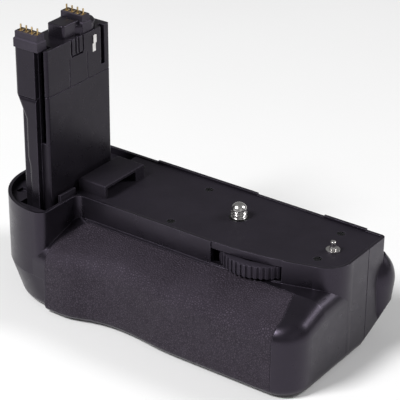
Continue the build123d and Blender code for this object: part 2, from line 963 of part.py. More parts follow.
# Control cover at the lower left, with the shutter and dial openings
with BuildPart() as control_cover:
    add(control_form(0, -cover_edge - touch_gap))
    base = control_cover.faces().sort_by(Axis.Z)[0].edges()
    fillet(base.filter_by(lambda e: e.center().X < -cover_edge - over), heel_radius)
    add(control_form(cover_wall, -cover_edge + cover_wall + over), mode=Mode.SUBTRACT)
    for x, y in shell_screw_places:
        rod(x, y, 0, cover_wall + over, small_screw_radius + touch_gap, Mode.SUBTRACT)
        rod(x, y, -over, small_screw_head_depth, small_screw_head + touch_gap, Mode.SUBTRACT)
    with BuildSketch(shutter_plane.offset(-cover_wall / 2)):
        with Locations((-shutter_post_spread, 0), (shutter_post_spread, 0)):
            Circle(shutter_post_radius)
    post_end = shutter_cap + shutter_stem + shutter_travel + shutter_switch_height - shutter_rise
    extrude(amount=-(post_end - cover_wall / 2 + touch_gap))
    with BuildSketch(shutter_plane.offset(-shutter_cap - over)):
        Circle(shutter_bezel_radius + touch_gap)
    extrude(amount=shutter_cap + 3 * over, mode=Mode.SUBTRACT)
    slot_radius = dial_radius + dial_slot_gap
    slot_half = dial_width / 2 + dial_slot_gap
    rod_back(dial_place.X, dial_place.Z, dial_y - slot_half, dial_y + slot_half, slot_radius, Mode.SUBTRACT)
    brick((bay_left, seam_y, bay_low), (0, deck_back + over, cover_seam), Mode.SUBTRACT)
    shaft_hole = power_shaft_radius + turn_gap
    rod_back(-power_x, power_z, inner_back - over, deck_back + over, shaft_hole, Mode.SUBTRACT)
    brick((-body_span, -body_span, cover_seam), (0, body_span, deck_height), Mode.SUBTRACT)
save(control_cover.part, "control_cover")

# Deck plate that the camera stands on
with BuildPart() as deck_plate:
    add(deck_prism(deck_low, deck_height, rim_width + touch_gap))
    well_cut(deck_low - over, deck_height + over, touch_gap)
    rod(0, 0, deck_low, deck_height, bush_radius + touch_gap, Mode.SUBTRACT)
    rod(pin_x, pin_y, deck_low, deck_height, pin_bush_radius + touch_gap, Mode.SUBTRACT)
    for x, y in deck_screw_places:
        rod(x, y, deck_low, deck_height, deck_screw_radius + touch_gap, Mode.SUBTRACT)
        head_low = deck_height - deck_screw_head_depth - touch_gap
        rod(x, y, head_low, deck_height, deck_screw_head + touch_gap, Mode.SUBTRACT)
save(deck_plate.part, "deck_plate")

# Sunk floor of the grip well, with the hangers of the main board
flange_low = well_low - touch_gap - tower_flange
with BuildPart() as well_plate:
    add(well_prism(well_low, well_top, rim_width + touch_gap, -touch_gap))
    gap = slide_gap
    brick(
        (-column_left_high - gap, -column_front - gap, well_low - over),
        (-tower_right + gap, tower_back + gap, well_top + over),
        Mode.SUBTRACT,
    )
    for y in (-hanger_front, hanger_back):
        rod(-hanger_x, y, main_board_z + board_thickness + touch_gap, well_low + over, hanger_radius)
    pocket_left = -left_edge + rim_width + 2 * hanger_radius
    for y in (-hanger_front - 2 * hanger_radius, -hanger_front + 2 * hanger_radius):
        brick(
            (pocket_left, y, well_top - well_thickness / 2),
            (pocket_left + 2 * hanger_radius, y + 2 * hanger_radius, well_top + over),
            Mode.SUBTRACT,
        )
save(well_plate.part, "well_plate")

# Chamber that the battery magazine slides in, which also carries the drive and the deck
with BuildPart() as battery_chamber:
    brick((chamber_left, chamber_front, chamber_low), (chamber_right, chamber_back, ceiling_top))
    brick((bay_left, bay_front, bay_low), (bay_right, chamber_back + over, bay_top), Mode.SUBTRACT)
    for x, y in shell_screw_places:
        foot = cover_wall if x < -cover_edge else floor_wall
        rod(x, y, foot + touch_gap, chamber_low + chamber_floor / 2, chamber_foot_radius)
        rod(x, y, foot, chamber_low + chamber_floor / 2, small_screw_radius + touch_gap, Mode.SUBTRACT)
    for x, y in deck_screw_places:
        rod(x, y, ceiling_top - chamber_wall / 2, deck_low - touch_gap, deck_post_radius)
        rod(x, y, ceiling_top, deck_low, deck_screw_radius + touch_gap, Mode.SUBTRACT)
    rod(0, 0, bay_top, ceiling_top, screw_foot_radius + turn_gap, Mode.SUBTRACT)
    low = (power_contact_x - power_block_length / 2, chamber_front - over, power_contact_z - power_block_height / 2)
    high = (power_contact_x + power_block_length / 2, bay_front + over, power_contact_z + power_block_height / 2)
    brick(low, high, Mode.SUBTRACT)
save(battery_chamber.part, "battery_chamber")

# Bottom plate with the tripod socket and the metal plate that spreads its load
plate_gap = touch_gap
with BuildPart() as bottom_plate:
    with BuildSketch(Plane.XY):
        with Locations((bottom_middle_x, bottom_middle_y)):
            size = (bottom_length - 2 * plate_gap, bottom_width - 2 * plate_gap)
            RectangleRounded(*size, bottom_radius - plate_gap)
    extrude(amount=bottom_thickness - touch_gap)
    rod(0, 0, 0, bottom_thickness, socket_radius + touch_gap, Mode.SUBTRACT)
    for x, y in bottom_screw_places:
        rod(x, y, 0, bottom_thickness, small_screw_radius + touch_gap, Mode.SUBTRACT)
        rod(x, y, 0, small_screw_head_depth + touch_gap, small_screw_head + touch_gap, Mode.SUBTRACT)
save(bottom_plate.part, "bottom_plate")

tripod_low = bottom_thickness
with BuildPart() as tripod_plate:
    with BuildSketch(Plane.XY.offset(tripod_low)):
        RectangleRounded(tripod_plate_length, tripod_plate_width, bottom_radius / 2)
        Circle(socket_radius + touch_gap, mode=Mode.SUBTRACT)
    extrude(amount=tripod_plate_thickness)
save(tripod_plate.part, "tripod_plate")

with BuildPart() as tripod_socket:
    rod(0, 0, 0, socket_height, socket_radius)
    flange_bottom = tripod_low + tripod_plate_thickness + touch_gap
    rod(0, 0, flange_bottom, flange_bottom + socket_flange, socket_flange_radius)
    rod(0, 0, 0, socket_height, socket_thread_radius, Mode.SUBTRACT)
save(tripod_socket.part, "tripod_socket")

# Tower housing up to its parting line
with BuildPart() as tower_housing:
    brick((-tower_left, -tower_front, flange_low), (-tower_right, tower_back, cap_low))
    column_z = deck_height + column_parting
    with BuildSketch(Plane.XZ.offset(tower_front - over)):
        with BuildLine():
            Polyline(
                (-column_right, flange_low),
                (-column_left_low + column_step, flange_low),
                (-column_left_low + column_step, deck_height + column_step_low),
                (-column_left_low, deck_height + column_step_high),
                (-column_left_low, column_z - column_slope),
                (-column_left_high, column_z),
                (-column_right, column_z),
                close=True,
            )
        make_face()
    extrude(amount=column_front - tower_front + over)
    corners = [(x, y) for x in (-tower_left, -tower_right) for y in (tower_back, -tower_front)]
    for x, y in corners:
        fillet(upright(tower_housing, x, y), tower_edge_radius)
    front_edges = tower_housing.edges().filter_by(lambda e: abs(e.center().Y + column_front) < touch_gap)
    column_side = front_edges.filter_by(lambda e: e.center().X < -column_left_low + over + column_step)
    column_side = column_side.filter_by(lambda e: flange_low + touch_gap < e.center().Z)
    fillet(column_side, 2 * tower_edge_radius)
    chamfer(tower_housing.faces().sort_by(Axis.Z)[-1].edges(), tower_line)
    brick(
        (-tower_left + tower_wall, -tower_front + tower_wall, flange_low - over),
        (-tower_right - tower_wall, tower_back - tower_wall, cap_low + over),
        Mode.SUBTRACT,
    )
    brick(
        (-tower_slot_left, -column_front - over, deck_height + tower_slot_low),
        (-tower_slot_right, -tower_front + tower_slot_depth, cap_low + over),
        Mode.SUBTRACT,
    )
    margin = tower_flange_margin
    with BuildSketch(Plane.XY.offset(flange_low)):
        with BuildLine():
            Polyline(
                (-column_left_high - margin, -column_front - margin),
                (-tower_right + margin, -column_front - margin),
                (-tower_right + margin, tower_back + margin),
                (-column_left_high - margin, tower_back + margin),
                close=True,
            )
        make_face()
        with Locations((-(tower_left + tower_right) / 2, (tower_back - tower_front) / 2)):
            inner = (tower_left - tower_right - 2 * tower_wall, tower_back + tower_front - 2 * tower_wall)
            Rectangle(*inner, mode=Mode.SUBTRACT)
    extrude(amount=tower_flange)
save(tower_housing.part, "tower_housing")

# Tower cap with its catch, its rear groove and its faint moulding lines
with BuildPart() as tower_cap:
    low = cap_low + touch_gap
    brick((-column_left_high, -tower_front, low), (-tower_right, tower_back, shelf_top))
    column_low = deck_height + column_parting + touch_gap
    brick((-column_left_high, -column_front, column_low), (-column_right, -tower_front, shelf_top))
    for x, y in ((-column_left_high, tower_back), (-tower_right, tower_back), (-tower_right, -tower_front)):
        fillet(upright(tower_cap, x, y), tower_edge_radius)
    fillet(upright(tower_cap, -column_left_high, -column_front), 2 * tower_edge_radius)
    seam_edges = tower_cap.edges().filter_by(lambda e: abs(e.center().Z - low) < touch_gap)
    chamfer(seam_edges.filter_by(lambda e: e.center().Y > -tower_front + touch_gap), tower_line)
    brick(
        (-tower_left + tower_wall, -tower_front + tower_wall, low),
        (-tower_right - tower_wall, tower_back - tower_wall, shelf_top - tower_wall),
        Mode.SUBTRACT,
    )
    brick(
        (-tower_slot_left, -column_front - over, low - column_slope),
        (-tower_slot_right, -tower_front + tower_slot_depth, shelf_top + over),
        Mode.SUBTRACT,
    )
    face = -tower_right
    catch_z = deck_height + catch_low
    middle = -(catch_front + catch_back) / 2
    for y in (-catch_front, middle - catch_slit, middle + catch_slit, -catch_back):
        brick((face - catch_depth, y - catch_slit / 2, catch_z), (face + over, y + catch_slit / 2, shelf_top + over), Mode.SUBTRACT)
    brick(
        (face - catch_depth, -catch_front, catch_z - catch_slit),
        (face + over, -catch_back, catch_z),
        Mode.SUBTRACT,
    )
    brick(
        (face - rear_groove_depth, -rear_groove_front, deck_height + rear_groove_low),
        (face + over, 0, shelf_top + over),
        Mode.SUBTRACT,
    )
    for y in (-face_line_front, -face_line_back):
        brick((face - face_line_depth, y - face_line_width, low), (face + over, y, catch_z - over), Mode.SUBTRACT)
    brick(
        (face - tongue_thickness - touch_gap, -tongue_front - touch_gap, deck_height + tongue_low - touch_gap),
        (face + over, -tongue_back + touch_gap, deck_height + tongue_high + touch_gap),
        Mode.SUBTRACT,
    )
save(tower_cap.part, "tower_cap")

# Raised block on the tower, cut for the rear contact block
contact_low = shelf_top + touch_gap
with BuildPart() as tower_top_block:
    with BuildSketch(Plane.XY.offset(contact_low)):
        length = column_left_high - tower_right - 2 * top_block_inset
        width = top_block_front - rear_groove_front / 2
        with Locations((-(column_left_high + tower_right) / 2, -(top_block_front + rear_groove_front / 2) / 2)):
            RectangleRounded(length, width, top_block_radius)
    extrude(amount=top_block_rise)
    fillet(tower_top_block.faces().sort_by(Axis.Z)[-1].edges(), tower_edge_radius)
    step_left = -top_step_left
    step_back = rear_contact_y - contact_depth / 2
    step_top = shelf_top + top_step_rise
    brick((step_left, -top_step_front, contact_low), (-top_step_right, step_back, step_top))
    for x in (step_left, -top_step_right):
        fillet(upright(tower_top_block, x, -top_step_front), top_step_radius)
    fillet(tower_top_block.faces().sort_by(Axis.Z)[-1].edges(), top_block_inset)
    row_left = rear_contact_shift - contact_left - touch_gap
    row_right = rear_contact_shift - contact_right + touch_gap
    brick(
        (row_left, rear_contact_y - contact_depth / 2 - touch_gap, shelf_top),
        (row_right, rear_contact_y + contact_depth / 2 + touch_gap, step_top + over),
        Mode.SUBTRACT,
    )
save(tower_top_block.part, "tower_top_block")


def contact_block(middle_y, top, shift):
    """A stepped block with chamfered sides, a pocket in its top and a bore for each pin."""
    left = shift - contact_left
    right = shift - contact_right
    front = middle_y - contact_depth / 2
    back = middle_y + contact_depth / 2
    step_z = top - contact_step_height
    with BuildPart() as block:
        brick((left, front, contact_low), (right, back, step_z))
        brick((left + contact_step, front + contact_step, step_z), (right - contact_step, back - contact_step, top))
        chamfer(block.faces().sort_by(Axis.Z)[-1].edges(), contact_chamfer / 2)
        shoulder = block.faces().filter_by(Axis.Z).filter_by(lambda f: abs(f.center().Z - step_z) < touch_gap)
        chamfer(shoulder.sort_by(SortBy.AREA)[-1].outer_wire().edges(), contact_chamfer)
        inset = contact_step + contact_rim
        brick(
            (left + inset, front + inset, top - contact_pocket),
            (right - inset, back - inset, top + over),
            Mode.SUBTRACT,
        )
        for x in contact_pin_places:
            bore_low = top - contact_pin_length + contact_pin_rise - contact_pin_travel - slide_gap
            rod(x + shift, middle_y, bore_low, top, contact_pin_radius + turn_gap, Mode.SUBTRACT)
    return block.part


def contact_pins(middle_y, top, shift):
    """A row of thin pins with rounded tips."""
    with BuildPart() as pins:
        for x in contact_pin_places:
            high = top + contact_pin_rise
            rod(x + shift, middle_y, high - contact_pin_length, high, contact_pin_radius)
        tips = pins.edges().group_by(Axis.Z)[-1]
        fillet(tips, contact_pin_radius / 2)
    return pins.part


front_row = (front_contact_y, front_contact_top, 0)
rear_row = (rear_contact_y, rear_contact_top, rear_contact_shift)
save(contact_block(*front_row), "front_contact_block")
save(contact_block(*rear_row), "rear_contact_block")
save(contact_pins(*front_row), "front_contact_pins")
save(contact_pins(*rear_row), "rear_contact_pins")

# Gold pads in the pockets of both contact blocks, each pierced by its pin
with BuildPart() as contact_pads:
    pad_depth = contact_depth - 2 * (contact_step + contact_rim + touch_gap)
    for middle_y, top, shift in (front_row, rear_row):
        for x in [place + shift for place in contact_pin_places]:
            low = top - contact_pocket + touch_gap / 2
            brick(
                (x - contact_pad_width / 2, middle_y - pad_depth / 2, low),
                (x + contact_pad_width / 2, middle_y + pad_depth / 2, low + contact_pad_thickness),
            )
            rod(x, middle_y, low, top, contact_pin_radius + slide_gap, Mode.SUBTRACT)
save(contact_pads.part, "contact_pads")

# Bright spring tongue let into the side of the cap
with BuildPart() as spring_tongue:
    face = -tower_right
    brick(
        (face - tongue_thickness, -tongue_front, deck_height + tongue_low),
        (face, -tongue_back, deck_height + tongue_high),
    )
    brick(
        (face, -tongue_front, deck_height + (tongue_low + tongue_high) / 2),
        (face + tongue_thickness, -tongue_back, deck_height + tongue_high),
    )
    tip = spring_tongue.faces().sort_by(Axis.X)[-1].edges().filter_by(Axis.Y)
    fillet(tip, tongue_thickness / 2)
save(spring_tongue.part, "spring_tongue")

# Holder on the deck for the camera's own battery cover, and the low rail before it
holder_low = deck_height + touch_gap
with BuildPart() as cover_holder:
    brick((-holder_left, -holder_front, holder_low), (-holder_right, holder_back, deck_height + holder_rise))
    roof = cover_holder.faces().sort_by(Axis.Z)[-1].edges()
    fillet(roof, holder_wall / 2)
    brick(
        (-holder_left + holder_wall, -holder_front + holder_wall, holder_low),
        (-holder_right + over, holder_slot_back, deck_height + holder_rise - holder_roof),
        Mode.SUBTRACT,
    )
    brick(
        (-holder_left + holder_wall, holder_slot_back + holder_wall, holder_low),
        (-holder_right - holder_wall, holder_back - holder_wall, deck_height + holder_rise - holder_roof),
        Mode.SUBTRACT,
    )
save(cover_holder.part, "cover_holder")

with BuildPart() as cover_rail:
    rail_low = well_top + touch_gap
    brick((-rail_left, -rail_front, rail_low), (-rail_right, -rail_back - rim_width, deck_height + rail_height))
    brick(
        (-rail_left, -rail_front, rail_low),
        (-rail_right, -rail_front + rail_foot_width, deck_height + rail_height),
    )
    fillet(cover_rail.faces().sort_by(Axis.Z)[-1].edges(), rail_foot / 4)
save(cover_rail.part, "cover_rail")

# Camera screw: a domed tip, thread ridges, a flange on the deck and a neck down to its gear
thread_low = deck_height + 2 * touch_gap + screw_flange
thread_high = deck_height + screw_rise - screw_dome
ridge_count = round((thread_high - thread_low) / screw_pitch)
thread_root = screw_radius - screw_thread_depth
with BuildPart() as camera_screw:
    with BuildSketch(Plane.XZ):
        with BuildLine():
            flange_low = deck_height + touch_gap
            points = [
                (0, bay_top + touch_gap),
                (screw_foot_radius, bay_top + touch_gap),
                (screw_foot_radius, ceiling_top + touch_gap),
                (screw_neck_radius, ceiling_top + touch_gap),
                (screw_neck_radius, flange_low),
                (screw_flange_radius, flange_low),
                (screw_flange_radius, flange_low + screw_flange),
                (thread_root, flange_low + screw_flange),
            ]
            pitch = (thread_high - thread_low) / ridge_count
            for n in range(ridge_count):
                z = thread_low + n * pitch
                points += [(thread_root, z), (screw_radius, z + pitch / 3), (screw_radius, z + pitch / 2)]
            tip_radius = screw_radius - screw_thread_depth / 3
            screw_top = deck_height + screw_rise
            points += [(thread_root, thread_high), (tip_radius, thread_high), (tip_radius, screw_top), (0, screw_top)]
            Polyline(*points, close=True)
        make_face()
    revolve(axis=Axis.Z)
    fillet(camera_screw.edges().group_by(Axis.Z)[-1], screw_dome - touch_gap)
save(camera_screw.part, "camera_screw")

# Bush in the deck plate, and the gear train from the wheel to the screw
with BuildPart() as screw_bush:
    rod(0, 0, deck_low, deck_height, bush_radius)
    rod(0, 0, deck_low, deck_height, screw_neck_radius + turn_gap, Mode.SUBTRACT)
save(screw_bush.part, "screw_bush")

to_wheel = degrees(atan2(wheel_y, wheel_x))
half_tooth = 180 / screw_teeth
save(spur_gear(0, 0, gear_low, screw_teeth, screw_neck_radius + turn_gap / 5, to_wheel + half_tooth), "screw_gear")

with BuildPart() as wheel_gear:
    add(spur_gear(wheel_x, wheel_y, gear_low, wheel_teeth, wheel_axle_radius + turn_gap, to_wheel + 180))
    rod(wheel_x, wheel_y, gear_top, wheel_low, wheel_hub_radius)
    rod(wheel_x, wheel_y, gear_top, wheel_low, wheel_axle_radius + turn_gap, Mode.SUBTRACT)
save(wheel_gear.part, "wheel_gear")

# Lock wheel with its ribbed rim, hollowed on both faces
with BuildPart() as lock_wheel:
    wheel_place = Plane(origin=(wheel_x, wheel_y, wheel_low))
    wheel_bore = wheel_axle_radius + turn_gap
    wheel_width = wheel_top - wheel_low
    add(ribbed_disc(wheel_place, wheel_radius, wheel_width, wheel_bore, wheel_rib_count, wheel_rib_depth))
    for low in (wheel_low, wheel_top - wheel_dish_depth):
        with BuildSketch(Plane.XY.offset(low)):
            with Locations((wheel_x, wheel_y)):
                Circle(wheel_radius - wheel_rim_width)
                Circle(wheel_hub_radius, mode=Mode.SUBTRACT)
        extrude(amount=wheel_dish_depth, mode=Mode.SUBTRACT)
save(lock_wheel.part, "lock_wheel")

with BuildPart() as wheel_axle:
    rod(wheel_x, wheel_y, ceiling_top, deck_low, wheel_axle_radius)
save(wheel_axle.part, "wheel_axle")

# Sprung locating pin in its flanged bush
bush_low = ceiling_top + touch_gap
bush_floor = bush_low + pin_flange
shoulder_low = deck_low - pin_shoulder
shoulder_bore = pin_shoulder_radius + turn_gap
with BuildPart() as pin_bush:
    rod(pin_x, pin_y, bush_low, deck_height, pin_bush_radius)
    rod(pin_x, pin_y, deck_height + touch_gap, deck_height + touch_gap + pin_flange, pin_flange_radius)
    rod(pin_x, pin_y, deck_height, deck_height + touch_gap, pin_bush_radius)
    rod(pin_x, pin_y, bush_floor, deck_low + slide_gap, shoulder_bore, Mode.SUBTRACT)
    rod(pin_x, pin_y, bush_floor, deck_height + over, pin_shank_radius + turn_gap, Mode.SUBTRACT)
save(pin_bush.part, "pin_bush")

with BuildPart() as locating_pin:
    rod(pin_x, pin_y, shoulder_low, deck_low, pin_shoulder_radius)
    rod(pin_x, pin_y, deck_low, deck_height + pin_shank_rise, pin_shank_radius)
    with Locations((pin_x, pin_y, deck_height + pin_shank_rise + pin_cone / 2)):
        Cone(pin_shank_radius, pin_radius, pin_cone)
    rod(pin_x, pin_y, deck_height + pin_shank_rise + pin_cone, deck_height + pin_rise, pin_radius)
    rod(pin_x, pin_y, shoulder_low - pin_travel, shoulder_low, pin_stem_radius)
    fillet(locating_pin.edges().group_by(Axis.Z)[-1], pin_tip_radius)
save(locating_pin.part, "locating_pin")

pin_spring_low = bush_floor + touch_gap
pin_spring_length = shoulder_low - pin_spring_low - touch_gap
pin_spring_radius = pin_shoulder_radius - pin_spring_wire
pin_spring = coil_spring(
    pin_x, pin_y, pin_spring_low, pin_spring_length, pin_spring_radius, pin_spring_wire, pin_spring_turns
)
save(pin_spring, "pin_spring")

# Shutter button, its bezel, its spring and its switch
with BuildPart() as shutter_bezel:
    with BuildSketch(shutter_plane.offset(-shutter_bezel_depth)):
        Circle(shutter_bezel_radius)
        Circle(shutter_radius + slide_gap, mode=Mode.SUBTRACT)
    extrude(amount=shutter_bezel_depth + shutter_bezel_rise)
    fillet(shutter_bezel.edges().filter_by(GeomType.CIRCLE).sort_by(Axis.X)[:2], shutter_bezel_rise / 3)
save(shutter_bezel.part, "shutter_bezel")

with BuildPart() as shutter_button:
    with BuildSketch(shutter_plane.offset(shutter_rise - shutter_cap)):
        Circle(shutter_radius)
    extrude(amount=shutter_cap)
    fillet(shutter_button.edges().filter_by(GeomType.CIRCLE).sort_by(Axis.X)[0], shutter_dome)
    with BuildSketch(shutter_plane.offset(shutter_rise - shutter_cap)):
        Circle(shutter_stem_radius)
    extrude(amount=-shutter_stem)
save(shutter_button.part, "shutter_button")

switch_top = shutter_rise - shutter_cap - shutter_stem - shutter_travel - slide_gap
spring_length = shutter_stem - slide_gap  # as it is with the button pressed
shutter_coil = coil_spring(
    0, 0, switch_top + touch_gap, spring_length, shutter_spring_radius, shutter_spring_wire, shutter_spring_turns
)
save(shutter_coil.moved(shutter_plane.location), "shutter_spring")

with BuildPart() as shutter_switch:
    board_top = switch_top - shutter_switch_height
    with BuildSketch(shutter_plane.offset(board_top)):
        Rectangle(shutter_board_length, shutter_board_width)
    extrude(amount=-board_thickness)
    with BuildSketch(shutter_plane.offset(board_top)):
        Rectangle(shutter_switch_size, shutter_switch_size)
    extrude(amount=shutter_switch_height)
save(shutter_switch.part, "shutter_switch")

# Main dial on its axle, between the cheeks of a bracket on the chamber
dial_front = dial_y - dial_width / 2
dial_plane = Plane(
    origin=(dial_place.X, dial_front, dial_place.Z), x_dir=(1, 0, 0), z_dir=(0, 1, 0)
)
dial_bore = dial_axle_radius + turn_gap
main_dial = ribbed_disc(dial_plane, dial_radius, dial_width, dial_bore, dial_rib_count, dial_rib_depth)
save(main_dial, "main_dial")

cheek_inner = dial_width / 2 + free_gap
cheek_outer = cheek_inner + dial_cheek
with BuildPart() as dial_axle:
    rod_back(dial_place.X, dial_place.Z, dial_y - cheek_outer, dial_y + cheek_outer, dial_axle_radius)
save(dial_axle.part, "dial_axle")

with BuildPart() as dial_bracket:
    base_right = chamber_left - touch_gap
    low = dial_place.Z - dial_cheek_height / 2
    high = dial_place.Z + dial_cheek_height / 2
    for front in (dial_y - cheek_outer, dial_y + cheek_inner):
        corner = (dial_place.X - dial_cheek_front, front, low)
        brick(corner, (base_right, front + dial_cheek, high))
    brick((base_right - dial_base, dial_y - cheek_outer, low), (base_right, dial_y + cheek_outer, high))
    bore = dial_axle_radius + touch_gap
    rod_back(dial_place.X, dial_place.Z, dial_y - body_span, dial_y + body_span, bore, Mode.SUBTRACT)
save(dial_bracket.part, "dial_bracket")


def thumb_button(x, z, radius):
    """A round button in the back wall, held by a flange inside it, with a stem over its dome."""
    flange_back = inner_back - slide_gap
    flange_front = flange_back - button_flange
    with BuildPart() as button:
        rod_back(x, z, flange_back, deck_back + button_rise, radius)
        fillet(button.edges().filter_by(GeomType.CIRCLE).sort_by(Axis.Y)[-1], button_rise / 2)
        rod_back(x, z, flange_front, flange_back, radius + button_flange_margin)
        rod_back(x, z, flange_front - button_stem, flange_front, dome_radius)
    return button.part


save(thumb_button(-small_button_left, small_button_z, small_button_radius), "exposure_lock_button")
save(thumb_button(-small_button_right, small_button_z, small_button_radius), "focus_point_button")
save(thumb_button(-start_button_x, start_button_z, start_button_radius), "focus_start_button")

# Board behind the thumb buttons, with a dome under each
with BuildPart() as rear_button_board:
    brick(
        (-button_board_left, board_back - board_thickness, button_board_low),
        (-button_board_right, board_back - touch_gap, button_board_high),
    )
    for x, z, radius in button_holes:
        rod_back(x, z, board_back - touch_gap, board_back + dome_height, dome_radius)
save(rear_button_board.part, "rear_button_board")

# Power lever on the back of the control cover, held by a clip inside
disc_front = deck_back + touch_gap
clip_back = deck_back - cover_draft_back - cover_wall - touch_gap
with BuildPart() as power_switch:
    disc_back = disc_front + power_disc
    rod_back(-power_x, power_z, disc_front, disc_back, power_radius)
    lever_back = disc_back + power_lever_height
    half = power_lever_width / 2
    brick(
        (-power_x - half, disc_front, power_z - half),
        (-power_x + half, lever_back, power_z + power_lever_length),
    )
    fillet(power_switch.faces().sort_by(Axis.Y)[-1].edges(), half / 3)
    rod_back(-power_x, power_z, clip_back - power_clip, disc_front, power_shaft_radius)
save(power_switch.part, "power_switch")

with BuildPart() as power_clip_ring:
    rod_back(-power_x, power_z, clip_back - power_clip, clip_back, power_clip_radius)
    hole = power_shaft_radius + touch_gap
    rod_back(-power_x, power_z, clip_back - power_clip, clip_back, hole, Mode.SUBTRACT)
save(power_clip_ring.part, "power_clip")

# Main circuit board under its hangers, and the ribbon that runs up the tower from it
with BuildPart() as main_circuit_board:
    brick(
        (-main_board_left, -main_board_front, main_board_z),
        (-main_board_right, main_board_back, main_board_z + board_thickness),
    )
    chamfer(upright(main_circuit_board, -main_board_left, -main_board_front), main_board_corner)
    chip_low = main_board_z - board_chip_height
    chip_x = -(main_board_left + main_board_right) / 2
    middle_y = (main_board_back - main_board_front) / 2
    for n in (-1, 0, 1):
        y = middle_y + n * 2 * board_chip_size
        half = board_chip_size / 2
        brick((chip_x - half, y - half, chip_low), (chip_x + half, y + half, main_board_z))
save(main_circuit_board.part, "main_circuit_board")

with BuildPart() as tower_ribbon:
    ribbon_top = shelf_top - tower_wall - touch_gap
    brick(
        (-ribbon_x - ribbon_thickness, ribbon_y - ribbon_width / 2, main_board_z + board_thickness),
        (-ribbon_x, ribbon_y + ribbon_width / 2, ribbon_top),
    )
save(tower_ribbon.part, "tower_ribbon")

# Magazine: a tray for two cells, its door, its quarter-turn latch and the cam behind the door
tray_back = deck_back - slide_gap
with BuildPart() as magazine_tray:
    wall_top = tray_low + tray_wall_height
    brick((tray_left, tray_front, tray_low), (tray_right, tray_back, tray_low + tray_floor))
    brick((tray_left, tray_front, tray_low), (tray_right, tray_front + tray_front_wall, wall_top))
    for x in (tray_left, tray_right - tray_wall):
        brick((x, tray_front, tray_low), (x + tray_wall, tray_back, wall_top))
    half = tray_divider / 2
    brick((tray_middle - half, tray_front, tray_low), (tray_middle + half, cell_back, wall_top))
save(magazine_tray.part, "magazine_tray")

with BuildPart() as magazine_door:
    door_front = deck_back + touch_gap
    door_back = door_front + door_thickness
    with BuildSketch(Plane.XZ.offset(-door_back)):
        with Locations((latch_x, latch_z)):
            length = bay_right - bay_left + 2 * door_margin
            height = bay_top - bay_low + 2 * door_margin
            RectangleRounded(length, height, door_radius)
            Circle(latch_shaft_radius + turn_gap, mode=Mode.SUBTRACT)
    extrude(amount=door_thickness)
    fillet(magazine_door.faces().sort_by(Axis.Y)[-1].outer_wire().edges(), door_thickness / 3)
save(magazine_door.part, "magazine_door")

cam_front = cell_back + slide_gap + touch_gap
cam_back = cam_front + cam_thickness
with BuildPart() as magazine_latch:
    latch_front = door_back + touch_gap
    latch_back = latch_front + latch_disc
    rod_back(latch_x, latch_z, latch_front, latch_back, latch_radius)
    fillet(magazine_latch.edges().filter_by(GeomType.CIRCLE).sort_by(Axis.Y)[-1], latch_disc / 3)
    half = latch_bar_width / 2
    brick(
        (latch_x - latch_radius + latch_disc, latch_back, latch_z - half),
        (latch_x + latch_radius - latch_disc, latch_back + latch_bar_height, latch_z + half),
    )
    fillet(magazine_latch.faces().sort_by(Axis.Y)[-1].edges(), half / 2)
    rod_back(latch_x, latch_z, cam_back, latch_front, latch_shaft_radius)
    rod_back(latch_x, latch_z, cam_front, cam_back, latch_screw_radius)
save(magazine_latch.part, "magazine_latch")

with BuildPart() as latch_cam:
    half = cam_width / 2
    brick((latch_x - half, cam_front, latch_z - half), (latch_x + cam_reach, cam_back, latch_z + half))
    rod_back(latch_x, latch_z, cam_front, cam_back, cam_reach, Mode.INTERSECT)
    rod_back(latch_x, latch_z, cam_front, cam_back, latch_screw_radius + touch_gap, Mode.SUBTRACT)
save(latch_cam.part, "latch_cam")


def battery_cell(left, terminal_x):
    """A rounded battery pack with a terminal pocket in its front face."""
    with BuildPart() as cell:
        brick((left, cell_front, cell_low), (left + cell_length, cell_back, cell_top))
        fillet(cell.edges(), cell_radius)
        half = cell_terminal_size / 2
        middle_z = (cell_low + cell_top) / 2
        for n in (-1, 0, 1):
            x = terminal_x + n * cell_terminal_pitch
            brick(
                (x - half / 2, cell_front - over, middle_z - half),
                (x + half / 2, cell_front + cell_terminal_depth, middle_z + half),
                Mode.SUBTRACT,
            )
    return cell.part


left_cell_x = tray_left + tray_wall + cell_gap
right_cell_x = tray_middle + tray_divider / 2 + cell_gap
save(battery_cell(left_cell_x, left_cell_x + cell_length - 2 * cell_terminal_size), "battery_cell_left")
save(battery_cell(right_cell_x, right_cell_x + 2 * cell_terminal_size), "battery_cell_right")

# Power contacts on the tray and the sprung block in the chamber wall behind them
power_contact_xs = [
    power_contact_x + (n - (power_contact_count - 1) / 2) * power_contact_pitch
    for n in range(power_contact_count)
]
with BuildPart() as magazine_contacts:
    half = power_pad_width / 2
    low = power_contact_z - power_pad_height / 2
    for x in power_contact_xs:
        brick((x - half, tray_front - power_pad_thickness, low), (x + half, tray_front, low + power_pad_height))
save(magazine_contacts.part, "magazine_contacts")

with BuildPart() as body_contacts:
    half_length = power_block_length / 2 - touch_gap
    half_height = power_block_height / 2 - touch_gap
    block_back = bay_front
    brick(
        (power_contact_x - half_length, block_back - power_block_depth, power_contact_z - half_height),
        (power_contact_x + half_length, block_back, power_contact_z + half_height),
    )
    tip_back = tray_front - power_pad_thickness - touch_gap
    for x in power_contact_xs:
        rod_back(x, power_contact_z, block_back, tip_back, power_tip_radius)
save(body_contacts.part, "body_contacts")


def screw_set(places, height, up, length, radius, head, head_depth):
    """Flat screws with cross slots, whose heads face up or down at a height."""
    with BuildPart() as screws:
        for x, y in places:
            place = Plane(origin=(x, y, height), z_dir=(0, 0, up))
            add(slotted_screw(place, length, radius, head, head_depth))
    return screws.part


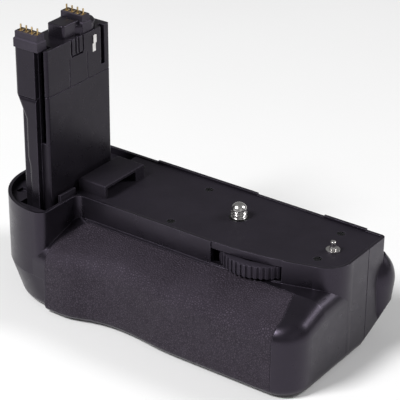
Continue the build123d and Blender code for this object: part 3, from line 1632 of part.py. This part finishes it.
deck_screw_low = ceiling_top + touch_gap
deck_head_high = deck_height - touch_gap
deck_screw_set = (deck_head_high - deck_screw_low, deck_screw_radius, deck_screw_head, deck_screw_head_depth)
save(screw_set(deck_screw_places, deck_head_high, 1, *deck_screw_set), "deck_screws")
head_depth = small_screw_head_depth - touch_gap
shell_screw_length = chamber_low - 2 * touch_gap
shell_screw_size = (shell_screw_length, small_screw_radius, small_screw_head, head_depth)
save(screw_set(shell_screw_places, touch_gap, -1, *shell_screw_size), "shell_screws")
bottom_screw_length = floor_wall - 2 * touch_gap
bottom_screw_size = (bottom_screw_length, small_screw_radius, small_screw_head, head_depth)
save(screw_set(bottom_screw_places, touch_gap, -1, *bottom_screw_size), "bottom_screws")
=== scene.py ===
"""Looks of the camera battery grip: its finishes, and a camera screw with a true thread."""

import json
import math

import bmesh
import bpy
from mathutils import Matrix, Vector


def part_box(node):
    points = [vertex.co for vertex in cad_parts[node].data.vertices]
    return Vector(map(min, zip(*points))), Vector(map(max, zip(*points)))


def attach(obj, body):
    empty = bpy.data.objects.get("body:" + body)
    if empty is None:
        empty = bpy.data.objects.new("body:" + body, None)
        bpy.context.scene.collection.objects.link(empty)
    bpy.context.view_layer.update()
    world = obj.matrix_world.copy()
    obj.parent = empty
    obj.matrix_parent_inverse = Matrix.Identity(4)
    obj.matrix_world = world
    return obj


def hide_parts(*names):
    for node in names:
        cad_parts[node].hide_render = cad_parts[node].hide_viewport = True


MM = 0.001
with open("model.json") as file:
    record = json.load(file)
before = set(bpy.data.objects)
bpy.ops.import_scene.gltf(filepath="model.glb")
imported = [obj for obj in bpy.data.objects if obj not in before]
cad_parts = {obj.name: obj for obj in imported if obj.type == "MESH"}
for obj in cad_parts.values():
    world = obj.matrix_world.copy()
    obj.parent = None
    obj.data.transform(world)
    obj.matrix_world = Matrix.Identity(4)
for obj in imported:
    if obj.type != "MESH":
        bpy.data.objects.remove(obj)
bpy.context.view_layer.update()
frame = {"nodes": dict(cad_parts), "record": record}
nodes = frame["nodes"]

# Height of the deck above the origin
DECK_HEIGHT = 43.0 * MM

# Photograph's camera, fitted to the deck, the tower and the camera screw
PHOTO_SIDE_PX = 400
SENSOR_MM = 36.0
AZIMUTH = math.radians(35.5)
ELEVATION = math.radians(27.6)
ROLL = math.radians(0.45)
FOCAL_PX = 1708.5
PX_PER_MM = 2.57
REFERENCE_RIGHT_PX = 39.0
REFERENCE_DOWN_PX = 17.0
CLIP_NEAR = 0.01
CLIP_FAR = 20

# Nodes whose finish isn't that of their slot
NODE_FINISHES = {"tower_housing": "tower", "tower_cap": "tower", "screw_bush": "black_screw"}

# Tints of the plastics, of the rubber and of what shines on both
COOL = (1.0, 0.87, 1.18)
VIOLET = (1.03, 0.84, 1.1)
SHEEN_TINT = (0.87, 0.75, 1.0, 1.0)

# Moulded plastic
PLASTIC_GRAIN = 0.35 * MM
PLASTIC_GRAIN_DEPTH = 0.02 * MM
PLASTIC_EDGE = 0.22 * MM
PLASTIC_CLOUDS = 14 * MM
PLASTIC_RUB_AND_HIGHLIGHT_PATCHES = 3 * MM
PLASTIC_SPECKS = 2.6 * MM
PLASTIC_DUST_PATCHES = 9 * MM
PLASTIC_GLOSS_PATCHES = 5 * MM
PIT_PER_GRAIN = 1.7
RUB_AND_HIGHLIGHT_PER_EDGE = 1.6
DUST_PER_LIGHT = 3.2
# Grey of the lightened edges: partly worn plastic, partly painted edge highlight
RUBBED_EDGE_AND_HIGHLIGHT_GREY = 0.13

# Leather-grained rubber
PEBBLE_SIZE = 0.9 * MM
SMALL_PEBBLE_SIZE = 0.5 * MM
PORE_SIZE = 0.2 * MM
PEBBLE_DEPTH = 0.16 * MM
WOBBLE = 0.7 * MM
WOBBLE_SIZE = 2.2 * MM
RUBBER_CLOUDS = 12 * MM
RUBBER_DUST_PATCHES = 20 * MM
# Width of the painted groove shade along the rubber's edges
RUBBER_GROOVE_SHADE = 0.8 * MM
RUBBER_EDGE = 0.3 * MM

# Turned metal
TURNING_MARKS = 0.5 * MM
SCRATCHES = 0.3 * MM
MARK_DEPTH = 0.006 * MM
TARNISH_PATCHES = 4 * MM
METAL_EDGE = 0.12 * MM
METAL_WORN_EDGE = 0.25 * MM
TARNISHED = 0.8
POLISHED = 1.15

# Circuit board
TRACK_REACH = 0.8 * MM
CROSS_TRACK_REACH = 1.1 * MM
TRACK_SIDES = (0.3 * MM, 0.42 * MM)
CROSS_TRACK_SIDES = (0.5 * MM, 0.6 * MM)
TRACK_WANDER = 9 * MM
CROSS_TRACK_WANDER = 7 * MM
TRACK_FIELDS = 6 * MM
WEAVE = 0.25 * MM
BOARD_RELIEF = 0.03 * MM
BOARD_EDGE = 0.3 * MM
BOARD_GLOSS_PATCHES = 2 * MM

# Amber film
LINE_REACH = 0.5 * MM
LINE_SIDES = (0.2 * MM, 0.26 * MM)
FILM_SHADES = 6 * MM
FILM_WAVES = 2 * MM
FILM_RELIEF = 0.03 * MM
FILM_GLOSS_PATCHES = 3 * MM

# Nylon
NYLON_CLOUDS = 5 * MM
NYLON_GREASE_PATCHES = 4 * MM
NYLON_GRAIN = 0.4 * MM
NYLON_GRAIN_DEPTH = 0.02 * MM
NYLON_EDGE = 0.12 * MM

# Camera screw, from its foot up to its dome
FOOT_RADIUS = 1.5 * MM
NECK_LOW = 30.85 * MM
NECK_RADIUS = 2.4 * MM
FLANGE_GAP = 0.05 * MM
FLANGE_FACE_RADIUS = 3.1 * MM
FLANGE_RADIUS = 3.25 * MM
FLANGE_THICKNESS = 0.65 * MM
FLANGE_LOWER_EDGE = 0.15 * MM
FLANGE_UPPER_EDGE = 0.2 * MM
COLLAR_RADIUS = 2.7 * MM
COLLAR_HEIGHT = 0.12 * MM
SCREW_RADIUS = 3.175 * MM
SCREW_PITCH = 1.27 * MM
THREAD_DEPTH = 0.62 * MM
THREAD_ROOM = 0.25 * MM
THREAD_FADE = 0.3 * MM
THREAD_STEPS = 96
THREAD_ROWS_PER_PITCH = 16
ROOT_SHARE = 0.12
FLANK_SHARE = 0.72
FLANK_POWER = 0.9
DOME_HEIGHT = 2.75 * MM
DOME_FOOT = 0.08 * MM
DOME_INSET_SHARE = 0.1
DOME_ROWS = 16
TIP_RADIUS = 0.05 * MM

# Floor, world and lamps, each lamp with its place, the side of its square and its watts
FLOOR_HALF_SIDE = 6.0
FLOOR_DROP = 0.2 * MM
FLOOR_CLOUDS = 0.25
WORLD_STRENGTH = 0.2
LIT_PLACE = (-0.02, 0.0, 0.04)
LAMPS = {
    "key": ((-0.38, -0.82, 1.05), 0.4, 16.0),
    "fill": ((0.95, -0.55, 0.55), 0.8, 0.5),
    "rim": ((0.82, 0.72, 0.86), 0.45, 8.0),
}


def camera():
    """The photograph's viewpoint, with the deck's reference point at its pixel."""
    back = Vector(
        (
            math.sin(AZIMUTH) * math.cos(ELEVATION),
            -math.cos(AZIMUTH) * math.cos(ELEVATION),
            math.sin(ELEVATION),
        )
    )
    level = Vector((math.cos(AZIMUTH), math.sin(AZIMUTH), 0))
    above = back.cross(level)
    right = level * math.cos(ROLL) + above * math.sin(ROLL)
    up = above * math.cos(ROLL) - level * math.sin(ROLL)
    distance = FOCAL_PX / PX_PER_MM * MM
    place = back * distance
    place -= right * (REFERENCE_RIGHT_PX * distance / FOCAL_PX)
    place += up * (REFERENCE_DOWN_PX * distance / FOCAL_PX)
    place.z += DECK_HEIGHT
    data = bpy.data.cameras.new("photo_camera")
    data.sensor_width = SENSOR_MM
    data.lens = FOCAL_PX * SENSOR_MM / PHOTO_SIDE_PX
    data.clip_start = CLIP_NEAR
    data.clip_end = CLIP_FAR
    eye = bpy.data.objects.new("photo_camera", data)
    turn = Matrix((right, up, back)).transposed().to_4x4()
    eye.matrix_world = Matrix.Translation(place) @ turn
    bpy.context.scene.collection.objects.link(eye)
    bpy.context.scene.camera = eye


class Graph:
    """A material's node tree, with short calls for the nodes that the finishes share."""

    def __init__(self, name):
        self.material = bpy.data.materials.new(name)
        self.material.use_nodes = True
        self.tree = self.material.node_tree
        self.shader = self.tree.nodes["Principled BSDF"]
        self.place = self.tree.nodes.new("ShaderNodeTexCoord").outputs["Object"]

    def node(self, kind, inputs=None, **settings):
        """A new node of that kind, with its settings and what goes into its sockets."""
        made = self.tree.nodes.new("ShaderNode" + kind)
        for key, value in settings.items():
            setattr(made, key, value)
        for key, value in (inputs or {}).items():
            self.put(made.inputs[key], value)
        return made

    def put(self, socket, value):
        """Links another node's output to the socket, or sets it to a constant."""
        if isinstance(value, bpy.types.NodeSocket):
            self.tree.links.new(value, socket)
        else:
            socket.default_value = value

    def stretched(self, scale):
        """The place on the part, scaled along each axis."""
        return self.node("Mapping", {"Vector": self.place, "Scale": scale}).outputs["Vector"]

    def axis(self, name):
        """One coordinate of the place on the part."""
        return self.node("SeparateXYZ", {"Vector": self.place}).outputs[name]

    def noise(self, size, detail=3.0, place=None):
        """Cloudy noise whose blotches are about size across."""
        inputs = {"Vector": place or self.place, "Scale": 1 / size, "Detail": detail, "Roughness": 0.55}
        return self.node("TexNoise", inputs).outputs["Fac"]

    def cells(self, size, feature="F1", place=None):
        """Rounded cells of about that size."""
        made = self.node("TexVoronoi", {"Vector": place or self.place, "Scale": 1 / size}, feature=feature)
        return made.outputs["Distance"]

    def spread(self, value, low, high, to_low=0.0, to_high=1.0):
        """The value's range from low to high, spread over another range and cut off at its ends."""
        inputs = {"Value": value, "From Min": low, "From Max": high, "To Min": to_low, "To Max": to_high}
        return self.node("MapRange", inputs).outputs["Result"]

    def mix(self, factor, first, second):
        """The first colour where the factor is 0 and the second where it is 1."""
        made = self.node("Mix", {"Factor": factor}, data_type="RGBA")
        self.put(made.inputs["A"], first)
        self.put(made.inputs["B"], second)
        return made.outputs["Result"]

    def math(self, operation, first, second):
        """One sum on two values."""
        made = self.node("Math", operation=operation)
        self.put(made.inputs[0], first)
        self.put(made.inputs[1], second)
        return made.outputs["Value"]

    def edges(self, radius, low=0.02, high=0.2):
        """1 along sharp edges and 0 on open faces."""
        rounded = self.node("Bevel", {"Radius": radius}, samples=4).outputs["Normal"]
        normal = self.tree.nodes.new("ShaderNodeNewGeometry").outputs["Normal"]
        alike = self.node("VectorMath", operation="DOT_PRODUCT")
        self.put(alike.inputs[0], rounded)
        self.put(alike.inputs[1], normal)
        return self.spread(self.math("SUBTRACT", 1.0, alike.outputs["Value"]), low, high)

    def soft_edges(self, radius):
        """A surface direction that turns smoothly over each edge."""
        return self.node("Bevel", {"Radius": radius}, samples=6).outputs["Normal"]

    def bump(self, height, depth, normal=None):
        """A surface direction with relief of that depth."""
        inputs = {"Height": height, "Distance": depth, "Strength": 1.0}
        if normal is not None:
            inputs["Normal"] = normal
        return self.node("Bump", inputs).outputs["Normal"]

    def finish(self, **sockets):
        """The material, with what goes into its shader's sockets."""
        for key, value in sockets.items():
            self.put(self.shader.inputs[key.replace("_", " ")], value)
        return self.material


def grey(value, tint=(1.0, 1.0, 1.0)):
    """A grey of that brightness, with a tint."""
    return tuple(value * t for t in tint) + (1.0,)


def shade(colour, factor):
    """The colour made darker or lighter by a factor."""
    return tuple(min(1.0, c * factor) for c in colour) + (1.0,)


def moulded(
    name,
    dark,
    light,
    rough,
    grain=PLASTIC_GRAIN,
    depth=PLASTIC_GRAIN_DEPTH,
    edge_wear_and_highlight=0.6,
    edge=PLASTIC_EDGE,
    shine=0.35,
):
    """Spark-eroded plastic: fine grain, faint clouds, edges lightened by rubbing and by painted edge
    highlights, and a few specks of dust.
    """
    g = Graph(name)
    clouds = g.spread(g.noise(PLASTIC_CLOUDS, 4), 0.35, 0.65)
    colour = g.mix(clouds, grey(dark, COOL), grey(light, COOL))
    # Edges lightened in patches: partly worn by rubbing, partly a painted edge highlight
    patches = g.spread(g.noise(PLASTIC_RUB_AND_HIGHLIGHT_PATCHES), 0.38, 0.62, 0.25, edge_wear_and_highlight)
    rubbed_and_lit_edges = g.math("MULTIPLY", g.edges(edge * RUB_AND_HIGHLIGHT_PER_EDGE), patches)
    colour = g.mix(rubbed_and_lit_edges, colour, grey(RUBBED_EDGE_AND_HIGHLIGHT_GREY, COOL))
    specks = g.spread(g.cells(PLASTIC_SPECKS), 0.035, 0.06, 0.5, 0.0)
    dusty = g.spread(g.noise(PLASTIC_DUST_PATCHES), 0.5, 0.6)
    colour = g.mix(g.math("MULTIPLY", specks, dusty), colour, grey(light * DUST_PER_LIGHT))
    pits = g.math("MULTIPLY", g.cells(grain * PIT_PER_GRAIN), 0.6)
    height = g.math("ADD", g.noise(grain, 2), pits)
    normal = g.bump(height, depth, g.soft_edges(edge))
    roughness = g.spread(g.noise(PLASTIC_GLOSS_PATCHES), 0.3, 0.7, rough - 0.05, rough + 0.06)
    roughness = g.math("SUBTRACT", roughness, g.math("MULTIPLY", rubbed_and_lit_edges, 0.12))
    gloss = {"Specular_IOR_Level": shine, "Specular_Tint": SHEEN_TINT}
    return g.finish(Base_Color=colour, Roughness=roughness, Normal=normal, **gloss)


def wobbled(g):
    """The place on the part, moved about a little so that a pattern on it looks uneven."""
    noise = g.node("TexNoise", {"Vector": g.place, "Scale": 1 / WOBBLE_SIZE, "Detail": 2.0})
    moved = g.node("VectorMath", operation="MULTIPLY_ADD")
    g.put(moved.inputs[0], noise.outputs["Color"])
    g.put(moved.inputs[1], (WOBBLE,) * 3)
    g.put(moved.inputs[2], g.place)
    return moved.outputs["Vector"]


def leather_rubber(name):
    """Black rubber with a pressed leather grain: raised pebbles with creases between them; the creases and
    the rubber's edges are painted dark as shade.
    """
    g = Graph(name)
    place = wobbled(g)
    pebble = g.spread(g.cells(PEBBLE_SIZE, "DISTANCE_TO_EDGE", place), 0.0, 0.3)
    small = g.spread(g.cells(SMALL_PEBBLE_SIZE, "DISTANCE_TO_EDGE", place), 0.0, 0.3)
    height = g.math("ADD", pebble, g.math("MULTIPLY", small, 0.3))
    height = g.math("ADD", height, g.math("MULTIPLY", g.noise(PORE_SIZE), 0.15))
    clouds = g.spread(g.noise(RUBBER_CLOUDS, 4), 0.35, 0.65)
    top = g.mix(clouds, grey(0.034, VIOLET), grey(0.044, VIOLET))
    # Painted shade: the creases between the pebbles are painted darker than the pebble tops
    colour = g.mix(pebble, grey(0.012, VIOLET), top)
    dusty = g.spread(g.noise(RUBBER_DUST_PATCHES), 0.5, 0.7, 0.0, 0.2)
    dust = g.math("MULTIPLY", g.spread(pebble, 0.6, 0.1), dusty)
    colour = g.mix(dust, colour, grey(0.07, COOL))
    # Painted shade: the rubber's edges are painted near-black where the groove around it lies in shade
    colour = g.mix(g.edges(RUBBER_GROOVE_SHADE, 0.003, 0.05), colour, grey(0.001))
    roughness = g.spread(pebble, 0.0, 1.0, 0.75, 0.45)
    normal = g.bump(height, PEBBLE_DEPTH, g.soft_edges(RUBBER_EDGE))
    gloss = {"Specular_IOR_Level": 0.45, "Specular_Tint": SHEEN_TINT}
    return g.finish(Base_Color=colour, Roughness=roughness, Normal=normal, **gloss)


def turned_metal(name, colour, rough):
    """Turned metal: level turning marks, scratches, soft tarnish and bright edges."""
    g = Graph(name)
    marks = g.noise(TURNING_MARKS, 2, place=g.stretched((0.25, 0.25, 6.0)))
    scratches = g.noise(SCRATCHES, 3, place=g.stretched((0.2, 5.0, 1.0)))
    tarnish = g.spread(g.noise(TARNISH_PATCHES, 4), 0.4, 0.7)
    tone = g.mix(tarnish, colour + (1.0,), shade(colour, TARNISHED))
    tone = g.mix(g.edges(METAL_WORN_EDGE), tone, shade(colour, POLISHED))
    height = g.math("ADD", marks, g.math("MULTIPLY", scratches, 0.5))
    roughness = g.spread(g.math("ADD", tarnish, scratches), 0.2, 1.6, rough - 0.06, rough + 0.14)
    normal = g.bump(height, MARK_DEPTH, g.soft_edges(METAL_EDGE))
    return g.finish(Base_Color=tone, Metallic=1.0, Roughness=roughness, Normal=normal)


def tracks_across(g, axis, wander, reach, sides):
    """Lines a regular way apart across an axis, which noise of that size bends a little."""
    bent = g.math("ADD", axis, g.noise(wander))
    return g.spread(g.math("PINGPONG", bent, reach), *sides)


def circuit_board(name):
    """Green solder mask with copper tracks that show through it and pale glass fibre at its edges."""
    g = Graph(name)
    along = tracks_across(g, g.axis("Y"), TRACK_WANDER, TRACK_REACH, TRACK_SIDES)
    across = tracks_across(g, g.axis("X"), CROSS_TRACK_WANDER, CROSS_TRACK_REACH, CROSS_TRACK_SIDES)
    tracks = g.mix(g.spread(g.noise(TRACK_FIELDS), 0.48, 0.5), along, across)
    colour = g.mix(tracks, (0.012, 0.085, 0.03, 1), (0.03, 0.16, 0.055, 1))
    colour = g.mix(g.edges(BOARD_EDGE), colour, (0.42, 0.4, 0.24, 1))
    weave = g.noise(WEAVE, place=g.stretched((6, 0.6, 1)))
    height = g.math("ADD", weave, g.math("MULTIPLY", tracks, 0.5))
    normal = g.bump(height, BOARD_RELIEF)
    rough = g.spread(g.noise(BOARD_GLOSS_PATCHES), 0.3, 0.7, 0.28, 0.42)
    return g.finish(Base_Color=colour, Roughness=rough, Normal=normal)


def amber_film(name):
    """Amber polyimide film with copper lines along it."""
    g = Graph(name)
    lines = g.spread(g.math("PINGPONG", g.axis("Y"), LINE_REACH), *LINE_SIDES)
    colour = g.mix(lines, (0.42, 0.17, 0.02, 1), (0.6, 0.3, 0.09, 1))
    shades = g.spread(g.noise(FILM_SHADES), 0.4, 0.7, 0, 0.35)
    colour = g.mix(shades, colour, (0.3, 0.11, 0.015, 1))
    normal = g.bump(g.math("ADD", lines, g.noise(FILM_WAVES)), FILM_RELIEF)
    rough = g.spread(g.noise(FILM_GLOSS_PATCHES), 0.3, 0.7, 0.22, 0.36)
    return g.finish(Base_Color=colour, Roughness=rough, Normal=normal)


def nylon(name):
    """Natural nylon of the gears: milky, with moulding clouds and patches of grease."""
    g = Graph(name)
    clouds = g.spread(g.noise(NYLON_CLOUDS, 4), 0.35, 0.65)
    colour = g.mix(clouds, (0.66, 0.63, 0.54, 1), (0.78, 0.76, 0.68, 1))
    grease = g.spread(g.noise(NYLON_GREASE_PATCHES, 2), 0.55, 0.65)
    colour = g.mix(g.math("MULTIPLY", grease, 0.5), colour, (0.45, 0.4, 0.3, 1))
    rough = g.spread(grease, 0, 1, 0.42, 0.16)
    normal = g.bump(g.noise(NYLON_GRAIN), NYLON_GRAIN_DEPTH, g.soft_edges(NYLON_EDGE))
    return g.finish(Base_Color=colour, Roughness=rough, Normal=normal, Subsurface_Weight=0.15)


def shell_plastic(name):
    """Body halves, control cover, magazine door and the tower's top block: a fine satin texture."""
    return moulded(name, dark=0.007, light=0.009, rough=0.31, depth=0.012 * MM, shine=0.5)


def tower_plastic(name):
    """Tower housing and cap: less shiny than the body, with rounder edges and wider painted edge
    highlights.
    """
    return moulded(name, dark=0.008, light=0.011, rough=0.3, edge=0.35 * MM, shine=0.25)


def deck_plastic(name):
    """Deck, well, bottom plate and cover slot: coarse and matt."""
    return moulded(name, dark=0.012, light=0.015, rough=0.6, grain=0.45 * MM, depth=0.03 * MM, shine=0.3)


def insulator_plastic(name):
    """Contact blocks: fine, hardly worn and with faint painted edge highlights."""
    return moulded(name, dark=0.020, light=0.026, rough=0.5, grain=0.25 * MM, edge_wear_and_highlight=0.3)


def wheel_plastic(name):
    """What fingers turn: the lock wheel, the dial, the latch and the power lever."""
    return moulded(name, dark=0.024, light=0.03, rough=0.45, grain=0.3 * MM)


def button_plastic(name):
    """Buttons and the release's bezel: almost smooth."""
    return moulded(name, dark=0.014, light=0.018, rough=0.3, grain=0.3 * MM, depth=0.008 * MM)


def tray_plastic(name):
    """Dark grey battery chamber and magazine tray."""
    return moulded(name, dark=0.055, light=0.068, rough=0.5)


def cell_plastic(name):
    """Grey cases of the battery packs."""
    return moulded(name, dark=0.075, light=0.09, rough=0.48, grain=0.3 * MM)


def gold_plate(name):
    """Gold plating of the contact pins and pads."""
    return turned_metal(name, (0.66, 0.5, 0.27), rough=0.3)


def polished_steel(name):
    """Bright steel of the camera screw, pins, shafts, springs and tripod socket."""
    return turned_metal(name, (0.78, 0.76, 0.75), rough=0.17)


def black_steel(name):
    """Blackened steel of the assembly screws and of the camera screw's bush."""
    return turned_metal(name, (0.05, 0.05, 0.053), rough=0.34)


def finishes():
    """One finish for each material slot of the record, and the tower's own."""
    return {
        "shell": shell_plastic("black_shell"),
        "tower": tower_plastic("black_tower"),
        "deck": deck_plastic("black_deck"),
        "grip_rubber": leather_rubber("leather_rubber"),
        "insulator": insulator_plastic("black_insulator"),
        "gold": gold_plate("gold_plate"),
        "steel": polished_steel("polished_steel"),
        "wheel": wheel_plastic("wheel_plastic"),
        "gear": nylon("gear_nylon"),
        "button": button_plastic("button_plastic"),
        "board": circuit_board("circuit_board"),
        "ribbon": amber_film("amber_film"),
        "tray": tray_plastic("grey_tray"),
        "cell": cell_plastic("cell_case"),
        "black_screw": black_steel("black_steel"),
    }


def dress(materials):
    """Gives each CAD node the finish of its slot, or its own one where it has one."""
    for part in frame["record"]["subparts"]:
        mesh = nodes[part["node"]].data
        slot = NODE_FINISHES.get(part["node"], part["material_slot"])
        mesh.materials.clear()
        mesh.materials.append(materials[slot])


def ring(radius_at, height):
    """A ring of points round the upright axis, whose radius may change with the angle."""
    points = []
    for i in range(THREAD_STEPS):
        angle = 2 * math.pi * i / THREAD_STEPS
        radius = radius_at(angle)
        points.append((radius * math.cos(angle), radius * math.sin(angle), height))
    return points


def round_ring(radius, height):
    """A ring of points with one radius."""
    return ring(lambda angle: radius, height)


def thread_profile(turns):
    """0 at the flat root and 1 at the flat crest of a thread, with nearly straight flanks."""
    part = turns % 1.0
    slope = min(part, 1 - part) * 2
    return min(1.0, max(0.0, (slope - ROOT_SHARE) / FLANK_SHARE)) ** FLANK_POWER


def thread_ring(root, height, fade):
    """A ring round the thread, whose ridge has the share fade of its full depth."""

    def radius_at(angle):
        turns = height / SCREW_PITCH - angle / (2 * math.pi)
        return root + THREAD_DEPTH * thread_profile(turns) * fade

    return ring(radius_at, height)


def shank_rings(foot, flange_low, flange_high, root):
    """The screw's rings from its foot over its neck and flange to the root of its thread."""
    profile = (
        (FOOT_RADIUS, foot),
        (FOOT_RADIUS, NECK_LOW),
        (NECK_RADIUS, NECK_LOW),
        (NECK_RADIUS, flange_low),
        (FLANGE_FACE_RADIUS, flange_low),
        (FLANGE_RADIUS, flange_low + FLANGE_LOWER_EDGE),
        (FLANGE_RADIUS, flange_high - FLANGE_UPPER_EDGE),
        (FLANGE_FACE_RADIUS, flange_high),
        (COLLAR_RADIUS, flange_high),
        (root, flange_high + COLLAR_HEIGHT),
    )
    return [round_ring(radius, height) for radius, height in profile]


def thread_rings(low, high, root):
    """The helical thread's rings; its ridge grows to full depth just above the flange."""
    rings = []
    count = round((high - low) / SCREW_PITCH * THREAD_ROWS_PER_PITCH)
    for n in range(count + 1):
        height = low + (high - low) * n / count
        fade = min(1.0, (height - low) / THREAD_FADE)
        rings.append(thread_ring(root, height, fade))
    return rings


def dome_rings(low, high):
    """The rings of the rounded tip above the thread."""
    rings = []
    radius = SCREW_RADIUS - THREAD_DEPTH * DOME_INSET_SHARE
    for n in range(DOME_ROWS):
        turn = math.pi / 2 * n / DOME_ROWS
        height = low + DOME_FOOT + (DOME_HEIGHT - DOME_FOOT) * math.sin(turn)
        rings.append(round_ring(radius * math.cos(turn), height))
    rings.append(round_ring(TIP_RADIUS, high))
    return rings


def grid_piece(name, rows, material, body):
    """A closed surface from rings of points; the first and last rings are capped."""
    shape = bmesh.new()
    rings = [[shape.verts.new(point) for point in row] for row in rows]
    count = len(rings[0])
    for lower, upper in zip(rings, rings[1:]):
        for i in range(count):
            j = (i + 1) % count
            shape.faces.new((lower[i], lower[j], upper[j], upper[i]))
    shape.faces.new(list(reversed(rings[0])))
    shape.faces.new(rings[-1])
    mesh = bpy.data.meshes.new(name)
    shape.to_mesh(mesh)
    shape.free()
    for face in mesh.polygons:
        face.use_smooth = len(face.vertices) == 4
    mesh.materials.append(material)
    piece = bpy.data.objects.new(name, mesh)
    bpy.context.scene.collection.objects.link(piece)
    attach(piece, body)
    return piece


def camera_screw(material):
    """The camera screw with a true helical thread between its flange and its domed tip."""
    low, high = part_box("camera_screw")
    flange_low = DECK_HEIGHT + FLANGE_GAP
    flange_high = flange_low + FLANGE_THICKNESS
    thread_low = flange_high + THREAD_ROOM
    thread_high = high.z - DOME_HEIGHT
    root = SCREW_RADIUS - THREAD_DEPTH
    rows = shank_rings(low.z, flange_low, flange_high, root)
    rows += thread_rings(thread_low, thread_high, root)
    rows += dome_rings(thread_high, high.z)
    piece = grid_piece("threaded_camera_screw", rows, material, "camera_screw")
    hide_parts("camera_screw")


def floor_finish():
    """Matt floor in two pale greys that run into each other."""
    g = Graph("pale_floor")
    clouds = g.spread(g.noise(FLOOR_CLOUDS, 2), 0.35, 0.65)
    tone = g.mix(clouds, grey(0.945), grey(0.965))
    return g.finish(Base_Color=tone, Roughness=0.9, Specular_IOR_Level=0.1)


def lay_floor():
    """A wide level floor just under the part."""
    mesh = bpy.data.meshes.new("floor")
    side = FLOOR_HALF_SIDE
    corners = [(-side, -side, 0), (side, -side, 0), (side, side, 0), (-side, side, 0)]
    mesh.from_pydata(corners, [], [(0, 1, 2, 3)])
    mesh.materials.append(floor_finish())
    floor = bpy.data.objects.new("floor", mesh)
    floor.location.z = -FLOOR_DROP
    bpy.context.scene.collection.objects.link(floor)


def plain_world():
    """A dim white world that lights from all sides."""
    world = bpy.data.worlds.new("studio")
    bpy.context.scene.world = world
    world.use_nodes = True
    background = world.node_tree.nodes["Background"]
    background.inputs["Color"].default_value = (1.0, 1.0, 1.0, 1.0)
    background.inputs["Strength"].default_value = WORLD_STRENGTH


def area_light(name, place, size, power):
    """A square soft light at place that shines at the part."""
    data = bpy.data.lights.new(name, "AREA")
    data.shape = "SQUARE"
    data.size = size
    data.energy = power
    lamp = bpy.data.objects.new(name, data)
    lamp.location = place
    lamp.rotation_euler = (Vector(LIT_PLACE) - Vector(place)).to_track_quat("-Z", "Y").to_euler()
    bpy.context.scene.collection.objects.link(lamp)


bpy.context.scene.view_settings.view_transform = "Standard"
materials = finishes()
dress(materials)
camera_screw(materials["steel"])
lay_floor()
plain_world()
for name, (place, size, power) in LAMPS.items():
    area_light(name, place, size, power)
camera()
